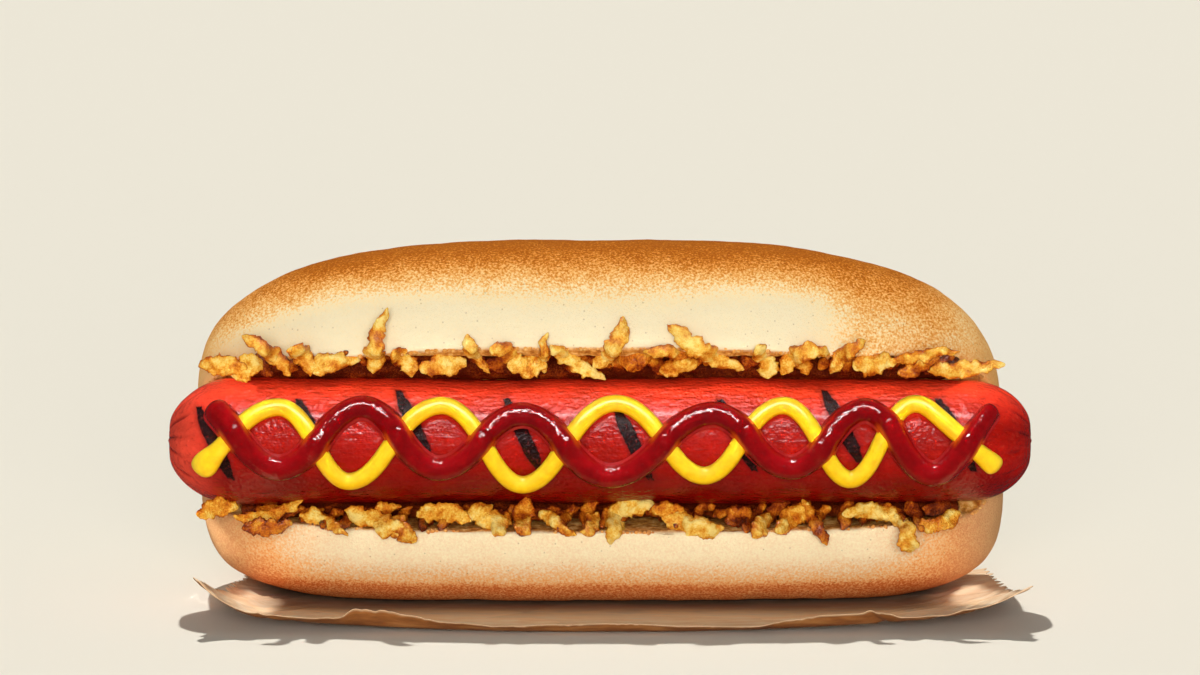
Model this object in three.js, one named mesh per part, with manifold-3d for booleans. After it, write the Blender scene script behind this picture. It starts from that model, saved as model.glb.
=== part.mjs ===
// A hot dog: a side-cut bun that holds a grilled sausage with mustard and ketchup drizzled along it,
// crisp fried onions packed above and below the sausage, all on a small sheet of greaseproof paper.
// Millimetres, +Z up. X runs along the bun, and the open side of the bun faces -Y.
// The origin is under the middle of the whole, on the surface that the paper lies on.
import * as THREE from "three";
import { mergeVertices } from "three/addons/utils/BufferGeometryUtils.js";
import Module from "manifold-3d";

const wasm = await Module();
wasm.setup();

// ---- Driving dimensions, laid out with y = 0 near the middle of the bun's depth ----

const gap = 0.35; // left between pieces that touch

const bun = {
  halfLength: 81.4,
  halfDepth: 27.6,
  middleY: -0.8,
  topZ: 71.6,
  bottomZ: 0.75,
  middleZ: 35,
  flattened: 1.4, // how far the round underside is pressed flat
  leanBack: 0.13, // how much the lifted upper half leans back
  leanAside: 0.035, // and how much it leans towards -X
  hingeZ: 27,
  hingeDent: 2.6,
  hingeDentHalfHeight: 6,
};

// The mouth's outline, as [y, z], from each lip back to the slit that ends at the hinge.
const mouth = {
  upperLip: [-26.5, 53],
  upperRoof: [-15, 50],
  slitStart: [-8, 32.4],
  slitEnd: [16, 29.4],
  slitHeights: [2.4, 0.7],
  lowerFloor: [-15, 17.2],
  lowerLip: [-26.5, 16.4],
  beyondY: -60,
  closingAtEnds: 0.13, // how much the mouth closes towards the bun's ends
};

const sausage = {
  radius: 12.4,
  halfLength: 86,
  endLength: 14,
  y: -18,
  z: 33.1,
  endFolds: 9,
  foldDepth: 0.55,
};

// Drizzles and onions are laid out by their heights above the sausage's axis as seen from in front
// and a little above.
const viewerElevation = THREE.MathUtils.degToRad(8.5);

// A drizzle's turns are [x, height].
const mustard = {
  width: 3.4,
  height: 3,
  sunk: 0.55,
  turns: [
    [-79.2, -5], [-64.4, 7.3], [-49.6, -7.9], [-31.6, 7.3], [-15.3, -8.4], [3.3, 7.5],
    [20.9, -6.9], [36.2, 7.7], [49.8, -8], [64.4, 7.5], [78.1, -4.4],
  ],
};
const ketchup = {
  width: 4.9,
  height: 3.6,
  sunk: 0.6,
  liftOverMustard: 1.5,
  turns: [
    [-75.8, 7.7], [-63.4, -5.5], [-46.1, 6.7], [-31.8, -5.1], [-14.5, 5.7], [1.8, -6.7],
    [22.3, 5.9], [37.8, -4.9], [52.3, 6.5], [66, -6.1], [77.4, 6.9],
  ],
};

// The paper lies flat under the bun, and is clear of the table all round that. Its front edge rolls
// up, its front bows up towards the ends, and its ends curl up, most of all at the front corners.
const paper = {
  frontY: -51,
  backY: 13,
  frontCorners: [-79.5, 84.5],
  backCorners: [-71.5, 79.5],
  thickness: 0.4,
  flatBackFromY: -16,
  clearOffFlat: 0.3,
  bow: 2.6,
  bowHalfLength: 65,
  endCurlFrom: 64,
  endCurls: [7, 4.6],
  endCurlAtBack: 0.2, // as a share of the curl at the front
  roll: 2.4,
  rollDepth: 4.5,
};

// ---- Helpers ----

const clamp01 = (t) => THREE.MathUtils.clamp(t, 0, 1);
const smooth = (t) => THREE.MathUtils.smoothstep(t, 0, 1);

// A repeatable number from 0 to 1 for a piece's index and a property's index.
function scatter(index, property) {
  const n = Math.sin(index * 12.9898 + property * 78.233) * 43758.5453;
  return n - Math.floor(n);
}

// A closed three.js geometry as a solid that can be joined and cut.
function toSolid(geometry) {
  const bare = geometry.clone();
  bare.deleteAttribute("normal");
  bare.deleteAttribute("uv");
  const merged = mergeVertices(bare, 1e-4);
  const corners = merged.index.array;
  const kept = [];
  for (let i = 0; i < corners.length; i += 3) {
    const [a, b, c] = [corners[i], corners[i + 1], corners[i + 2]];
    if (a !== b && b !== c && c !== a) kept.push(a, b, c);
  }
  return new wasm.Manifold(
    new wasm.Mesh({
      numProp: 3,
      vertProperties: merged.attributes.position.array,
      triVerts: new Uint32Array(kept),
    }),
  );
}

// The largest body of a solid: scraps that a cut leaves loose are dropped.
function largestBody(solid) {
  return solid.decompose().reduce((a, b) => (a.volume() > b.volume() ? a : b));
}

function toMesh(name, solid, material) {
  const { vertProperties, triVerts } = solid.getMesh();
  const geometry = new THREE.BufferGeometry();
  geometry.setAttribute("position", new THREE.BufferAttribute(vertProperties, 3));
  geometry.setIndex(new THREE.BufferAttribute(triVerts, 1));
  geometry.computeVertexNormals();
  const mesh = new THREE.Mesh(geometry, material);
  mesh.name = name;
  return mesh;
}

function moveVertices(geometry, move) {
  const position = geometry.attributes.position;
  const v = new THREE.Vector3();
  for (let i = 0; i < position.count; i++) {
    move(v.fromBufferAttribute(position, i));
    position.setXYZ(i, v.x, v.y, v.z);
  }
  return geometry;
}

// Bends a shape that runs along Y for the given length, so that it follows a path from t = 0 to 1.
// The shape's Z goes to the path's outward side.
function bendAlong(geometry, length, pathPoint, outwardAt) {
  const step = 0.002;
  return moveVertices(geometry, (v) => {
    const t = clamp01(v.y / length + 0.5);
    const pastEnd = v.y - (t - 0.5) * length;
    const point = pathPoint(t);
    const ahead = pathPoint(Math.min(1, t + step));
    const along = ahead.sub(pathPoint(Math.max(0, t - step))).normalize();
    const outward = outwardAt(point);
    outward.addScaledVector(along, -outward.dot(along)).normalize();
    const side = new THREE.Vector3().crossVectors(along, outward);
    const [across, out] = [v.x, v.z];
    v.copy(point).addScaledVector(along, pastEnd);
    v.addScaledVector(side, across).addScaledVector(outward, out);
  });
}

// ---- Bun ----

// A superellipse's half width at t, from 1 in the middle to 0 at either end.
const taper = (t, power) => Math.pow(Math.max(0, 1 - Math.pow(Math.abs(t), power)), 1 / power);

const upperHalf = { sectionPower: 2.6, endPower: 2.9 };
const lowerHalf = { sectionPower: 3.7, endPower: 4.6 };
const planPower = 2.9;

// The whole outer shape of the opened bun, before its mouth is cut.
function bunSkin(grow) {
  const ball = new THREE.SphereGeometry(1, 38, 28);
  return moveVertices(ball, (v) => {
    const along = v.y;
    const around = Math.atan2(v.z, v.x);
    const half = v.z > 0 ? upperHalf : lowerHalf;
    const [c, s] = [Math.cos(around), Math.sin(around)];
    const reach = Math.pow(
      Math.pow(Math.abs(c), half.sectionPower) + Math.pow(Math.abs(s), half.sectionPower),
      -1 / half.sectionPower,
    );
    const rise = v.z > 0 ? bun.topZ - bun.middleZ : bun.middleZ - bun.bottomZ + bun.flattened;
    let y = c * reach * (bun.halfDepth + grow) * taper(along, planPower);
    let z = s * reach * (rise + grow) * taper(along, half.endPower);
    z -= z > 0 ? bun.leanBack * y * (z / rise) : 0;
    const x = -along * (bun.halfLength + grow) - bun.leanAside * z;
    z += bun.middleZ;
    const dent = bun.hingeDent * Math.exp(-(((z - bun.hingeZ) / bun.hingeDentHalfHeight) ** 2));
    y -= y > 0 ? dent * (y / bun.halfDepth) : 0;
    v.set(x, y + bun.middleY, Math.max(z, bun.bottomZ - grow));
  });
}

// The wedge that opens the bun from its front to the hinge at its back.
function bunMouth(shrink) {
  const { upperLip, upperRoof, slitStart, slitEnd, slitHeights, lowerFloor, lowerLip } = mouth;
  const pastLip = (lip, inner) => {
    const slope = (inner[1] - lip[1]) / (inner[0] - lip[0]);
    return [mouth.beyondY, lip[1] + slope * (mouth.beyondY - lip[0])];
  };
  const above = ([y, z], lift) => new THREE.Vector2(y, z + lift);
  const outline = new THREE.Shape([
    above(pastLip(lowerLip, lowerFloor), shrink),
    above(lowerLip, shrink),
    above(lowerFloor, shrink),
    above(slitStart, -slitHeights[0] / 2),
    above(slitEnd, -slitHeights[1] / 2),
    above(slitEnd, slitHeights[1] / 2),
    above(slitStart, slitHeights[0] / 2),
    above(upperRoof, -shrink),
    above(upperLip, -shrink),
    above(pastLip(upperLip, upperRoof), -shrink),
  ]);
  const length = 2 * bun.halfLength + 20;
  const wedge = new THREE.ExtrudeGeometry(outline, { depth: length, steps: 10, bevelEnabled: false });
  return moveVertices(wedge, (v) => {
    const x = v.z - length / 2;
    const closing = 1 - mouth.closingAtEnds * Math.min(1, Math.abs(x) / bun.halfLength) ** 6;
    v.set(x, v.x, sausage.z + (v.y - sausage.z) * closing);
  });
}

function bunSolid(grow) {
  return toSolid(bunSkin(grow)).subtract(toSolid(bunMouth(grow)));
}

// ---- Sausage with its drizzles ----

// The skin's outline from one end to the other, with a dimple where each end is tied.
function sausageProfile(grow) {
  const bodySteps = 6;
  const endSteps = 6;
  const dimple = 0.9;
  const straight = sausage.halfLength - sausage.endLength;
  const right = [[0, sausage.halfLength - dimple]];
  for (let i = 1; i <= endSteps; i++) {
    const angle = (i / endSteps) * (Math.PI / 2);
    const reach = sausage.endLength * Math.cos(angle) ** 0.85;
    right.push([Math.sin(angle) ** 0.9 * sausage.radius, straight + reach]);
  }
  const left = right.map(([r, x]) => [r, -x]);
  const body = [];
  for (let i = 1; i < bodySteps; i++) {
    body.push([sausage.radius, straight * ((2 * i) / bodySteps - 1)]);
  }
  return [...left, ...body, ...right.reverse()]
    .map(([r, x]) => new THREE.Vector2(r > 0 ? r + grow : 0, x + Math.sign(x) * grow));
}

function sausageSkin(grow) {
  const lathe = new THREE.LatheGeometry(sausageProfile(grow), 28);
  return moveVertices(lathe, (v) => {
    const [x, around] = [v.y, Math.atan2(v.z, v.x)];
    const radius = Math.hypot(v.x, v.z);
    const nearTip = smooth((Math.abs(x) - sausage.halfLength + 9) / 9);
    const fold = sausage.foldDepth * nearTip * smooth(radius / 6) * Math.cos(sausage.endFolds * around);
    const swell = 0.22 * Math.sin(x / 13) + 0.12 * Math.sin(x / 5.1 + 2 * around);
    const r = radius * (1 + swell / sausage.radius) - fold;
    v.set(x, sausage.y + r * Math.cos(around), sausage.z - r * Math.sin(around));
  });
}

// The height at x of a curve that swings from turn to turn.
function swing(turns, x) {
  const next = turns.findIndex(([turnX]) => turnX > x);
  const i = next < 0 ? turns.length - 2 : Math.max(0, next - 1);
  const [[x0, h0], [x1, h1]] = [turns[i], turns[i + 1]];
  const s = clamp01((x - x0) / (x1 - x0));
  return h0 + (h1 - h0) * (0.5 - 0.5 * Math.cos(Math.PI * s));
}

// A bead of sauce along the sausage. raisedAt(x) is how far its middle is off the skin.
function drizzle({ turns, width, height }, raisedAt) {
  const [first, last] = [turns[0][0], turns[turns.length - 1][0]];
  const run = last - first;
  const bead = new THREE.CapsuleGeometry(width / 2, run, 2, 6, 54);
  moveVertices(bead, (v) => v.setZ(v.z * (height / width)));
  const pathPoint = (t) => {
    const x = THREE.MathUtils.lerp(first, last, t);
    const angle = viewerElevation + Math.asin(swing(turns, x) / sausage.radius);
    const r = sausage.radius + raisedAt(x);
    return new THREE.Vector3(x, sausage.y - r * Math.cos(angle), sausage.z + r * Math.sin(angle));
  };
  const offAxis = (point) => new THREE.Vector3(0, point.y - sausage.y, point.z - sausage.z);
  return bendAlong(bead, run, pathPoint, offAxis);
}

function mustardBead() {
  return drizzle(mustard, () => mustard.height / 2 - mustard.sunk);
}

// The ketchup lies over the mustard, and rises where it crosses it.
function ketchupBead() {
  const crossing = 3.6;
  return drizzle(ketchup, (x) => {
    const apart = swing(ketchup.turns, x) - swing(mustard.turns, x);
    const lift = ketchup.liftOverMustard * Math.exp(-((apart / crossing) ** 2));
    return ketchup.height / 2 - ketchup.sunk + lift;
  });
}

function sausageSolid() {
  return toSolid(sausageSkin(0)).add(toSolid(mustardBead())).add(toSolid(ketchupBead()));
}

// ---- Fried onions ----

// Each strip that shows: [x, height of its middle, lean from level in degrees, length, width, bow].
// A lean of 90 stands upright, and a bow above 0 arches upwards.
const upperOnions = [
  [-74.4, 14.8, -6, 10, 4.2, 0.1], [-70, 14.6, 24, 7, 4.8, 0], [-65.5, 17.6, -43, 12.6, 3.2, 0.08],
  [-58.5, 16.4, -62, 7.4, 4.6, 0.1], [-52.5, 15.4, 14, 10.4, 4.8, 0.08], [-44, 20.2, 78, 13.8, 4.2, 0.05],
  [-38.6, 16, -58, 7, 5, 0.12], [-31, 15, 8, 9, 4.8, 0.15], [-24.4, 17.4, -62, 9.6, 3, -0.1],
  [-18.6, 17.6, -38, 7, 3.8, 0.12], [-14.4, 15, 4, 8, 4.6, 0], [-11, 17.8, 86, 8.6, 2.6, 0.06],
  [-4.6, 15.6, -34, 13.4, 4, -0.05], [2.4, 19.4, 58, 12, 3.8, -0.1], [7, 16.2, 10, 6.4, 4.6, 0.1],
  [13.4, 17.8, -6, 10, 2.6, 0.06], [15.6, 14.8, 16, 8, 3.8, 0], [20.6, 18.4, -32, 18, 3.8, -0.05],
  [32.4, 16, -68, 7.4, 4.6, 0.1], [40, 17, 24, 10.6, 3.8, 0.28], [48.6, 17.4, 46, 10, 3.2, 0.1],
  [54.4, 15.4, 8, 8.6, 5.4, 0.1], [64.4, 17.2, 10, 13.6, 3.2, 0.03], [63, 15, 22, 9, 3.2, 0],
  [73, 14.6, 4, 16, 3, -0.05],
];
const lowerOnions = [
  [-76, -13.6, 12, 8.6, 3.8, 0.1], [-65.4, -14, 17, 14.6, 3.4, -0.12], [-66, -16.4, 2, 10, 3.6, 0],
  [-54.6, -15.8, -18, 10.4, 3.6, 0.1], [-44.6, -15.6, -16, 13, 4.4, 0], [-39, -17.4, -40, 6.6, 5, 0],
  [-42, -13.2, 4, 5.4, 2.8, 0], [-31, -14.4, -4, 11, 4, 0.12], [-22.4, -15.6, -28, 8.4, 4.4, 0.1],
  [-15, -14.8, 84, 7.2, 4.6, 0], [-8.4, -16.2, -28, 8.6, 3, 0], [-1.8, -16.2, 62, 4.6, 3.8, 0],
  [5.4, -14.6, 34, 11.4, 4, 0.3], [13.8, -13.8, -6, 8, 3.4, 0.1], [18.4, -16.4, -8, 12.6, 4.4, -0.05],
  [27.6, -14.8, 30, 5.4, 4, 0], [32, -16.4, 56, 5.4, 4, 0.1], [38.6, -15.2, 26, 8.6, 4.4, 0.12],
  [42.6, -15.8, -58, 9.8, 2.4, 0], [54.6, -14.6, -10, 13, 3.6, 0.12], [60.8, -18.2, -76, 7.4, 3.6, 0],
  [67.4, -15.8, 14, 9, 3.6, -0.1],
];

const onions = {
  thickness: 2.9,
  shownY: -24, // the middle of the row that shows
  core: { halfLength: 77, halfDepth: 5.8, y: -18.4, endTaper: 9 },
  upperCore: { z: 48.4, halfHeight: 3 },
  lowerCore: { z: 18.6, halfHeight: 2.8 },
  leanOnBun: 0.3, // how a strip that stands over a lip leans back on the bun
};

// Where a point of the row that shows lies: inside the mouth, or in front of a lip that it passes.
function onionPlace(x, height, wander) {
  const insideY = onions.shownY + wander;
  const z = sausage.z + height / Math.cos(viewerElevation)
    + (sausage.y - insideY) * Math.tan(viewerElevation);
  const pastLip = Math.max(z - mouth.upperLip[1], mouth.lowerLip[1] - z);
  const rolled = 2.5;
  const outsideY = mouth.upperLip[0] - gap - onions.thickness / 2 + onions.leanOnBun * Math.max(0, pastLip);
  const y = THREE.MathUtils.lerp(insideY, outsideY, smooth(1 + pastLip / rolled));
  return new THREE.Vector3(x, y, z);
}

// One fried strip: tapered, bowed and uneven, facing out of the mouth.
function onionStrip([x, height, lean, length, width, bow], index) {
  const turn = THREE.MathUtils.degToRad(lean);
  const [c, s] = [Math.cos(turn), Math.sin(turn)];
  const taperShare = scatter(index, 3) > 0.5 ? 0.35 : 0.12;
  const strip = new THREE.CapsuleGeometry(width / 2, length - width, 1, 5, 4);
  moveVertices(strip, (v) => {
    const t = v.y / length + 0.5;
    const around = Math.atan2(v.z, v.x);
    const uneven = 1 + 0.2 * Math.sin(2 * around + index * 1.7 + t * 6);
    const narrowing = 1 - taperShare * t;
    const thin = onions.thickness / width;
    v.set(v.x * uneven * narrowing, v.y, v.z * thin * uneven);
  });
  const pathPoint = (t) => {
    const run = (t - 0.5) * length;
    const arch = 4 * bow * length * (t - t * t - 1 / 6);
    const wander = 1.2 * (scatter(index, 1) - 0.5) + 0.5 * Math.sin(index * 2.4 + t * 4);
    return onionPlace(x + c * run - s * arch, height + s * run + c * arch, wander);
  };
  return bendAlong(strip, length, pathPoint, () => new THREE.Vector3(0, -1, 0));
}

// The packed onions behind the strips that show.
function onionCore({ z, halfHeight }) {
  const { halfLength, halfDepth, y, endTaper } = onions.core;
  const bar = new THREE.CapsuleGeometry(1, 2 * halfLength, 2, 8, 6);
  moveVertices(bar, (v) => {
    const narrowing = taper(v.y / (halfLength + 1), endTaper);
    v.set(v.y, y + v.z * halfDepth * narrowing, z + v.x * halfHeight * narrowing);
  });
  return toSolid(bar).intersect(toSolid(bunMouth(gap)));
}

function onionHeap(strips, core, firstIndex) {
  const [first, ...others] = strips.map((strip, i) => toSolid(onionStrip(strip, firstIndex + i)));
  const joined = others.reduce((heap, strip) => heap.add(strip), first);
  const heap = joined.subtract(bunSolid(gap)).add(onionCore(core));
  return largestBody(heap.subtract(toSolid(sausageSkin(gap))));
}

// ---- Paper ----

// How far the paper's underside is off the table at x, y.
function paperLift(x, y) {
  const forward = smooth((paper.flatBackFromY - y) / (paper.flatBackFromY - paper.frontY));
  const bow = paper.bow * (x / paper.bowHalfLength) ** 2 * forward;
  const [endX, curl] = x < 0
    ? [-paper.frontCorners[0], paper.endCurls[0]]
    : [paper.frontCorners[1], paper.endCurls[1]];
  const pastFlat = Math.max(0, Math.abs(x) - paper.endCurlFrom) / (endX - paper.endCurlFrom);
  const end = curl * pastFlat ** 2 * THREE.MathUtils.lerp(paper.endCurlAtBack, 1, forward);
  const nearFront = clamp01((paper.frontY + paper.rollDepth - y) / paper.rollDepth);
  const wavy = 1 + 0.3 * Math.sin(x / 11) + 0.2 * Math.sin(x / 4.7 + 1);
  const roll = paper.roll * nearFront ** 2 * wavy * (1 - 0.8 * smooth((Math.abs(x) - 50) / 30));
  const isFlat = Math.abs(x) <= paper.endCurlFrom && y >= paper.flatBackFromY;
  return isFlat ? 0 : Math.max(paper.clearOffFlat, bow + end + roll);
}

function paperSheet() {
  const rowsFromFront = [0, 1.2, 2.6, 4.5, 11, 19, 27, 35, paper.backY - paper.frontY];
  const columns = 22;
  const sheet = new THREE.BoxGeometry(1, 1, 1, columns, rowsFromFront.length - 1, 1);
  return moveVertices(sheet, (v) => {
    const fromFront = rowsFromFront[Math.round((v.y + 0.5) * (rowsFromFront.length - 1))];
    const y = paper.frontY + fromFront;
    const backward = fromFront / (paper.backY - paper.frontY);
    const left = THREE.MathUtils.lerp(paper.frontCorners[0], paper.backCorners[0], backward);
    const right = THREE.MathUtils.lerp(paper.frontCorners[1], paper.backCorners[1], backward);
    const x = THREE.MathUtils.lerp(left, right, v.x + 0.5);
    v.set(x, y, paperLift(x, y) + (v.z > 0 ? paper.thickness : 0));
  });
}

// ---- The whole ----

const matt = (color, roughness) => new THREE.MeshStandardMaterial({ color, roughness, metalness: 0 });

const hotDog = new THREE.Group();
const bunWithSeat = largestBody(bunSolid(0).subtract(toSolid(sausageSkin(gap))));
const upperHeap = onionHeap(upperOnions, onions.upperCore, 0);
const lowerHeap = onionHeap(lowerOnions, onions.lowerCore, upperOnions.length);
hotDog.add(
  toMesh("bun", bunWithSeat, matt(0xd9a066, 0.75)),
  toMesh("sausage", sausageSolid(), matt(0xa8261c, 0.25)),
  toMesh("onions_upper", upperHeap, matt(0xcf8a32, 0.6)),
  toMesh("onions_lower", lowerHeap, matt(0xcf8a32, 0.6)),
  toMesh("paper", toSolid(paperSheet()), matt(0xc9a27c, 0.6)),
);

// The origin goes under the middle of the whole.
const extent = new THREE.Box3().setFromObject(hotDog);
const centre = extent.getCenter(new THREE.Vector3());
hotDog.position.set(-centre.x, -centre.y, -extent.min.z);

export default hotDog;
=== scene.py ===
"""Looks of a hot dog: a side-cut bun with a grilled sausage, ketchup, mustard, fried onions and its paper.

Shapes are worked out in millimetres in the layout that the solids use, with y = 0 near the middle of
the bun's depth, and finish_piece puts them in the row frame in metres: +X along the bun, open side to -Y.
"""

import math

import bmesh
import bpy
from mathutils import Matrix, Vector, noise
from mathutils.bvhtree import BVHTree
from mathutils.kdtree import KDTree


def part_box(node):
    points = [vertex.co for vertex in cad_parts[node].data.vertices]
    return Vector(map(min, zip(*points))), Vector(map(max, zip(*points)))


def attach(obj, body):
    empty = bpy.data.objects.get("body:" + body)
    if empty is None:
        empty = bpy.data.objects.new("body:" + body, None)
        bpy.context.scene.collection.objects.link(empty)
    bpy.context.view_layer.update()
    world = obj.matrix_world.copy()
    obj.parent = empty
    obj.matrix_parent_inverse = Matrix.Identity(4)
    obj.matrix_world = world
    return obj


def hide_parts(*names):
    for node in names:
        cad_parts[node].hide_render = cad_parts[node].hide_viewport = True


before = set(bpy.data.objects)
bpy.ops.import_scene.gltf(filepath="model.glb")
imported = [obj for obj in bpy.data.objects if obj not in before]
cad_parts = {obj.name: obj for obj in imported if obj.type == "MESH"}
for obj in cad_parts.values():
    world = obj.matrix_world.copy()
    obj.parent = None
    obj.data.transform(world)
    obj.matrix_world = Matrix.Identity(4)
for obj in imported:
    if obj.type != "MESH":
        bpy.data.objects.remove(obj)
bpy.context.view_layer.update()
body = "root"

MM = 0.001
TAU = 2 * math.pi

# ---- Driving dimensions, in millimetres ----

viewer_elevation = math.radians(8.5)

bun_half_length = 81.0
bun_half_depth = 27.6
bun_middle_y = -0.8
bun_top_z = 71.25
bun_bottom_z = 0.75
bun_middle_z = 35.0
bun_flattened = 1.7
bun_lean_back = 0.13
bun_lean_aside = 0.035
hinge_z, hinge_dent, hinge_dent_half_height = 27.0, 2.6, 6.0
plan_power = 2.9
upper_powers = (2.6, 2.9)  # of the section, and of the taper to the ends
lower_powers = (3.9, 5.55)

# The mouth's outline as (y, z), from the lower lip back to the slit and out to the upper lip.
upper_lip = (-26.5, 53.2)
lower_lip = (-26.5, 16.4)
mouth_beyond_y = -60.0
mouth_inner = [
    (-15.0, 17.2), (-8.0, 31.2), (16.0, 29.05),
    (16.0, 29.75), (-8.0, 33.6), (-15.0, 50.0), (-24.6, 51.2),
]
mouth_closing = 0.13  # the share by which the mouth is narrower at the ends
mouth_cuts = 60
bun_mesh_step = 0.84
torn_edges_end_y = -8.0
crumb_count = 420
crumb_sizes = (0.22, 0.6)
crumb_torn, crumb_baked = 0.7, 0.6

sausage_radius = 12.4
sausage_half_length = 86.4
sausage_end_length, sausage_end_power = 14.0, 0.95
sausage_y, sausage_z = -18.0, 33.1
end_folds = 13
fold_depth = 0.8
gathered_length = 9.5
tip_dimple, tip_dimple_radius = 1.5, 2.8
tip_nub, tip_nub_radius = 1.1, 1.1

# The grill marks' places are along the sausage and over its axis as seen from a little above.
mark_spacing = 21.05
first_mark_x = -76.3
mark_crowding, mark_crowding_reach = 1.5, 75.0  # the middle ones lie a little to the left
mark_slant = 0.47
mark_half_width = 1.5
mark_reach = 7.2
mark_shift = 1.6  # how far every second mark lies up or down
mark_level = 1.3

# A drizzle's turns are (x, height above the sausage's axis as seen from a little above).
mustard_turns = [
    (-80.0, -6.5), (-63.4, 6.3), (-49.6, -7.3), (-31.2, 6.6), (-15.3, -7.9), (3.1, 7.0),
    (20.6, -6.2), (36.2, 6.6), (49.4, -6.9), (62.2, 6.9), (79.0, -5.6),
]
mustard_width, mustard_height, mustard_sunk = 3.4, 3.0, 0.55
ketchup_turns = [
    (-77.0, 7.5), (-63.4, -5.0), (-46.8, 6.4), (-31.8, -5.1), (-15.3, 5.1), (1.8, -6.5),
    (22.3, 5.2), (37.6, -4.9), (52.3, 5.9), (65.6, -6.1), (78.0, 7.0),
]
ketchup_width, ketchup_height, ketchup_sunk = 4.7, 3.4, 0.6
ketchup_lift = 1.5
crossing_reach = 3.6
# At the lower turns, at the upper ones, and where the last stroke starts.
mustard_rounding = (0.38, 0.5, 0.2)
ketchup_rounding = (0.48, 0.46, 0.4)

paper_front_y, paper_back_y = -51.0, 13.0
paper_front_corners = (-79.5, 84.5)
paper_back_corners = (-71.5, 79.5)
paper_flat_back_from_y = -16.0
paper_bow, paper_bow_half_length = 2.6, 65.0
paper_end_curl_from = 64.0
paper_end_curls = (7.0, 4.6)
paper_end_curl_at_back = 0.5
paper_roll_depth = 4.5
paper_clear_off_flat = 0.3
paper_teeth_per_mm, paper_teeth_depth = 0.275, 1.3
# How high the front edge rolls up, as (x, height).
paper_roll = [
    (-80, 0.8), (-56, 1.5), (-51, 2.0), (-47.5, 4.0), (-41.5, 4.0), (-38, 3.3), (-30, 2.3), (-20, 1.7),
    (-8, 2.2), (4, 2.5), (18, 1.7), (30, 1.3), (36, 2.2), (43, 2.9), (55, 2.8), (59, 1.5),
    (66, 1.0), (85, 0.8),
]
paper_thickness = 0.16

onion_thickness = 2.9
onion_shown_y = -24.0
onion_lean_on_bun = 0.3
filler_half_length, filler_y, filler_half_depth = 72.0, -14.6, 4.6
strips_behind_count = 30
strips_behind_depth = 2.8
gap = 0.35

# Each fried strip that shows: (x, height of its middle, lean in degrees, length, width, bow, darkness).
upper_onions = [
    (-74.4, 14.8, -6, 10, 4.2, 0.1, 0.35), (-70, 14.6, 24, 7, 4.8, 0, 0.2),
    (-65.5, 17.6, -43, 12.6, 3.2, 0.08, 0.45), (-58.5, 16.4, -62, 7.4, 4.6, 0.1, 0.3),
    (-52.5, 15.4, 14, 10.4, 4.8, 0.08, 0.25), (-44, 20.2, 78, 13.8, 4.2, 0.05, 0.3),
    (-38.6, 16, -58, 7, 5, 0.12, 0.35), (-31, 15, 8, 9, 4.8, 0.15, 0.3),
    (-24.4, 17.4, -62, 9.6, 3, -0.1, 0.3), (-18.6, 17.6, -38, 7, 3.8, 0.12, 0.5),
    (-14.4, 15, 4, 8, 4.6, 0, 0.3), (-11, 17.8, 86, 8.6, 2.6, 0.06, 0.35),
    (-4.6, 15.6, -34, 13.4, 4, -0.05, 0.1), (2.4, 19.4, 58, 12, 3.8, -0.1, 0.25),
    (7, 16.2, 10, 6.4, 4.6, 0.1, 0.6), (13.4, 17.8, -6, 10, 2.6, 0.06, 0.55),
    (15.6, 14.8, 16, 8, 3.8, 0, 0.45), (20.6, 18.4, -32, 18, 3.8, -0.05, 0.25),
    (32.4, 16, -68, 7.4, 4.6, 0.1, 0.15), (40, 17, 24, 10.6, 3.8, 0.28, 0.3),
    (48.6, 17.4, 46, 10, 3.2, 0.1, 0.35), (54.4, 15.4, 8, 8.6, 5.4, 0.1, 0.25),
    (64.4, 17.2, 10, 13.6, 3.2, 0.03, 0.5), (63, 15, 22, 9, 3.2, 0, 0.6),
    (72.4, 14.4, 4, 15.6, 3, -0.05, 0.3),
]
lower_onions = [
    (-76, -13.6, 12, 8.6, 3.8, 0.1, 0.4), (-65.4, -14, 17, 14.6, 3.4, -0.12, 0.35),
    (-66, -16.4, 2, 10, 3.6, 0, 0.7), (-54.6, -15.8, -18, 10.4, 3.6, 0.1, 0.35),
    (-44.6, -15.6, -16, 13, 4.4, 0, 0.25), (-39, -17.4, -40, 6.6, 5, 0, 0.45),
    (-42, -13.2, 4, 5.4, 2.8, 0, 0.6), (-31, -14.4, -4, 11, 4, 0.12, 0.3),
    (-22.4, -15.6, -28, 8.4, 4.4, 0.1, 0.2), (-15, -14.8, 84, 7.2, 4.6, 0, 0.75),
    (-8.4, -16.2, -28, 8.6, 3, 0, 0.35), (-1.8, -16.2, 62, 4.6, 3.8, 0, 0.4),
    (5.4, -14.6, 34, 11.4, 4, 0.3, 0.15), (13.8, -13.8, -6, 8, 3.4, 0.1, 0.5),
    (18.4, -16.4, -8, 12.6, 4.4, -0.05, 0.2), (27.6, -14.8, 30, 5.4, 4, 0, 0.75),
    (32, -16.4, 56, 5.4, 4, 0.1, 0.35), (38.6, -15.2, 26, 8.6, 4.4, 0.12, 0.35),
    (42.6, -15.8, -58, 9.8, 2.4, 0, 0.7), (54.6, -14.6, -10, 13, 3.6, 0.12, 0.2),
    (60.8, -18.2, -76, 7.4, 3.6, 0, 0.3), (67.4, -15.8, 14, 9, 3.6, -0.1, 0.35),
]

# ---- Helpers ----

layout_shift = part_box("paper")[0].y - paper_front_y * MM
row_from_layout = Matrix.Translation((0, layout_shift, 0)) @ Matrix.Scale(MM, 4)


def clamp01(t):
    """A number held between 0 and 1."""
    return min(1.0, max(0.0, t))


def smooth(t):
    """An eased step from 0 at t = 0 to 1 at t = 1."""
    t = clamp01(t)
    return t * t * (3 - 2 * t)


def lerp(a, b, t):
    """The value that is a share t of the way from a to b."""
    return a + (b - a) * t


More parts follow.
